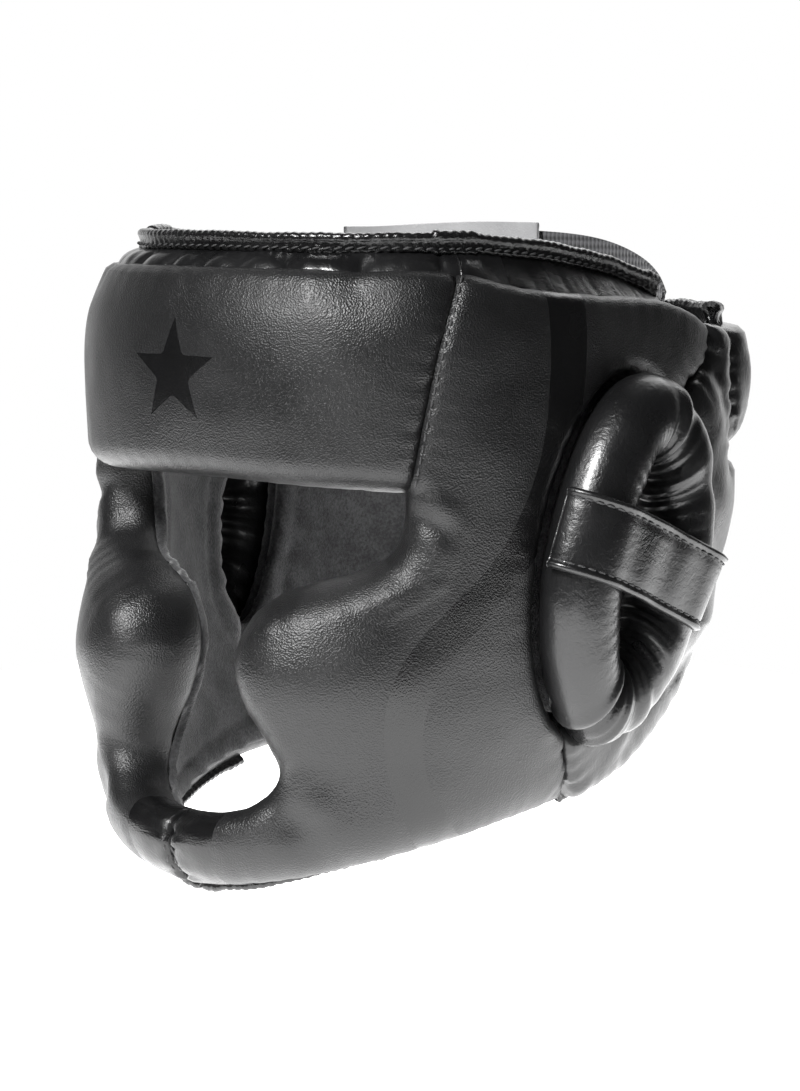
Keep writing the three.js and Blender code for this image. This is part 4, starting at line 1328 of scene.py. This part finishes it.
def add_closure():
    wide = CLOSURE["high"] - CLOSURE["low"]
    line, way = band_line(CLOSURE["from"], CLOSURE["to"], CLOSURE["out"])
    sides, up = strap("closure_band", line, way, wide, STRAP_THICK, GLOSS, "closure",
                      ["closure_strap"], hem=0.9)
    rows = strap_rows(line[1:-1], sides[1:-1], up[1:-1], wide, STRAP_THICK + 0.1)
    for at in (5, len(line) - 4):
        across = [line[at] + sides[at] * w + up[at] * (STRAP_THICK + 0.1) for w in np.linspace(-18, 18, 40)]
        rows.append(stitch_row(np.array(across), np.tile(up[at], (40, 1))))
    stitches("closure_stitches", rows, [""], "closure")
    hooks, way = band_line(CLOSURE["patch"], CLOSURE["hooks_to"], CLOSURE["out"] - 1.4)
    strap("closure_hooks", hooks, way, wide - 6, PATCH_THICK, HOOKS, "closure",
          ["closure_hook_patch"], hem=0.0)
    loops, way = band_line(CLOSURE["patch"], CLOSURE["loops_to"], CLOSURE["out"] - 2.8)
    strap("closure_loops", loops, way, wide, PATCH_THICK, HOOKS, "shell",
          ["closure_loop_patch"], hem=0.0)


add_closure()

CHIN_LINE = [[-46, -102], [-36, -101], [-15, -100], [15, -100], [36, -101], [46, -102]]
CHIN_WIDE = 22
CHIN_AT = -56


def chin_line(points, drop):
    line = np.array([[x, CHIN_AT, z - drop] for x, z in points], float)
    smooth = smooth_line(line, 1.5)
    return smooth, np.tile([0.0, 0.0, -1.0], (len(smooth), 1))


def add_chin_straps():
    hook_drop = STRAP_THICK + TOUCH_GAP
    loop_drop = hook_drop + PATCH_THICK + TOUCH_GAP
    strap_drop = loop_drop + PATCH_THICK + TOUCH_GAP
    for name, points, drop, wide, thick, material, body, slot, node in (
        ("chin_tab_band", CHIN_LINE[3:], 0, CHIN_WIDE, STRAP_THICK - 0.2, GLOSS, "shell", "gloss_leather",
         "chin_tab"),
        ("chin_loops", CHIN_LINE[3:5], hook_drop, CHIN_WIDE - 4, PATCH_THICK, HOOKS, "shell",
         "hook_and_loop", "chin_loop_patch"),
        ("chin_hooks", CHIN_LINE[3:5], loop_drop, CHIN_WIDE - 4, PATCH_THICK, HOOKS, "chin_strap",
         "hook_and_loop", "chin_hook_patch"),
        ("chin_band", CHIN_LINE[:5], strap_drop, CHIN_WIDE, STRAP_THICK - 0.2, GLOSS, "chin_strap",
         "gloss_leather", "chin_strap"),
    ):
        line, down = chin_line(points, drop)
        sides, up = strap(name, line, down, wide, thick, material, body, [node],
                          hem=0.5 if material == GLOSS else 0.0)
        if material == GLOSS:
            rows = strap_rows(line[1:-1], sides[1:-1], up[1:-1], wide, thick + 0.1)
            stitches(f"{name}_stitches", rows, [""], body)


add_chin_straps()

# ---------------------------------------------------------------- floor and lights

FLOOR_GAP = 0.002
FLOOR_SIZE = 0.9
FLOOR_GLOW = 2.4


def add_floor():
    level = cad_box[0][2] - FLOOR_GAP
    half = FLOOR_SIZE / 2
    mesh = bpy.data.meshes.new("floor")
    corners = [(-half, -half, level), (half, -half, level), (half, half, level), (-half, half, level)]
    mesh.from_pydata(corners, [], [(0, 1, 2, 3)])
    n = Nodes("pale_floor")
    mesh.materials.append(n.set(
        Base_Color=(0.9, 0.9, 0.9, 1), Roughness=0.8, Specular_IOR_Level=0.1,
        Emission_Color=(1, 1, 1, 1), Emission_Strength=FLOOR_GLOW,
    ))
    floor = bpy.data.objects.new("floor", mesh)
    scene.collection.objects.link(floor)


def add_softbox(name, azimuth, elevation, distance, wide, tall, power):
    turn, rise = math.radians(azimuth), math.radians(elevation)
    back = Vector((math.sin(turn) * math.cos(rise), -math.cos(turn) * math.cos(rise), math.sin(rise)))
    light = bpy.data.lights.new(name, "AREA")
    light.shape = "RECTANGLE"
    light.size = wide
    light.size_y = tall
    light.energy = power
    lamp = bpy.data.objects.new(name, light)
    lamp.location = back * distance
    lamp.rotation_mode = "QUATERNION"
    lamp.rotation_quaternion = (-back).to_track_quat("-Z", "Y")
    scene.collection.objects.link(lamp)


def add_world():
    """The camera sees plain white. Light comes mostly from behind the headgear, least from DARK_SIDE."""
    world = bpy.data.worlds.new("studio")
    world.use_nodes = True
    tree = world.node_tree
    shown = tree.nodes["Background"]
    lit = tree.nodes.new("ShaderNodeBackground")
    place = tree.nodes.new("ShaderNodeTexCoord")
    facing = tree.nodes.new("ShaderNodeVectorMath")
    facing.operation = "DOT_PRODUCT"
    facing.inputs[1].default_value = DARK_SIDE
    tree.links.new(place.outputs["Generated"], facing.inputs[0])
    spread = tree.nodes.new("ShaderNodeMapRange")
    spread.interpolation_type = "SMOOTHSTEP"
    spread.inputs["From Min"].default_value = BRIGHT_FROM
    spread.inputs["From Max"].default_value = DARK_FROM
    spread.inputs["To Min"].default_value = BRIGHT_SURROUND
    spread.inputs["To Max"].default_value = DARK_SURROUND
    tree.links.new(facing.outputs["Value"], spread.inputs["Value"])
    tree.links.new(spread.outputs["Result"], lit.inputs["Strength"])
    path = tree.nodes.new("ShaderNodeLightPath")
    mix = tree.nodes.new("ShaderNodeMixShader")
    tree.links.new(path.outputs["Is Camera Ray"], mix.inputs["Fac"])
    tree.links.new(lit.outputs["Background"], mix.inputs[1])
    tree.links.new(shown.outputs["Background"], mix.inputs[2])
    tree.links.new(mix.outputs["Shader"], tree.nodes["World Output"].inputs["Surface"])
    lit.inputs["Color"].default_value = (1, 1, 1, 1)
    shown.inputs["Color"].default_value = (1, 1, 1, 1)
    shown.inputs["Strength"].default_value = 1.0
    scene.world = world


DARK_SIDE = (0.7, -0.7, 0.15)
BRIGHT_SURROUND = 1.25
DARK_SURROUND = 0.03
# How closely a direction faces DARK_SIDE where the surround is still its brightest, and where it is dark.
BRIGHT_FROM = -0.97
DARK_FROM = -0.4
add_floor()
add_world()
add_softbox("front_softbox", 9, 40, 1.5, 0.35, 0.4, 36)
add_softbox("rear_softbox", 205, 45, 1.5, 1.2, 0.8, 8)
scene.view_settings.view_transform = "Standard"
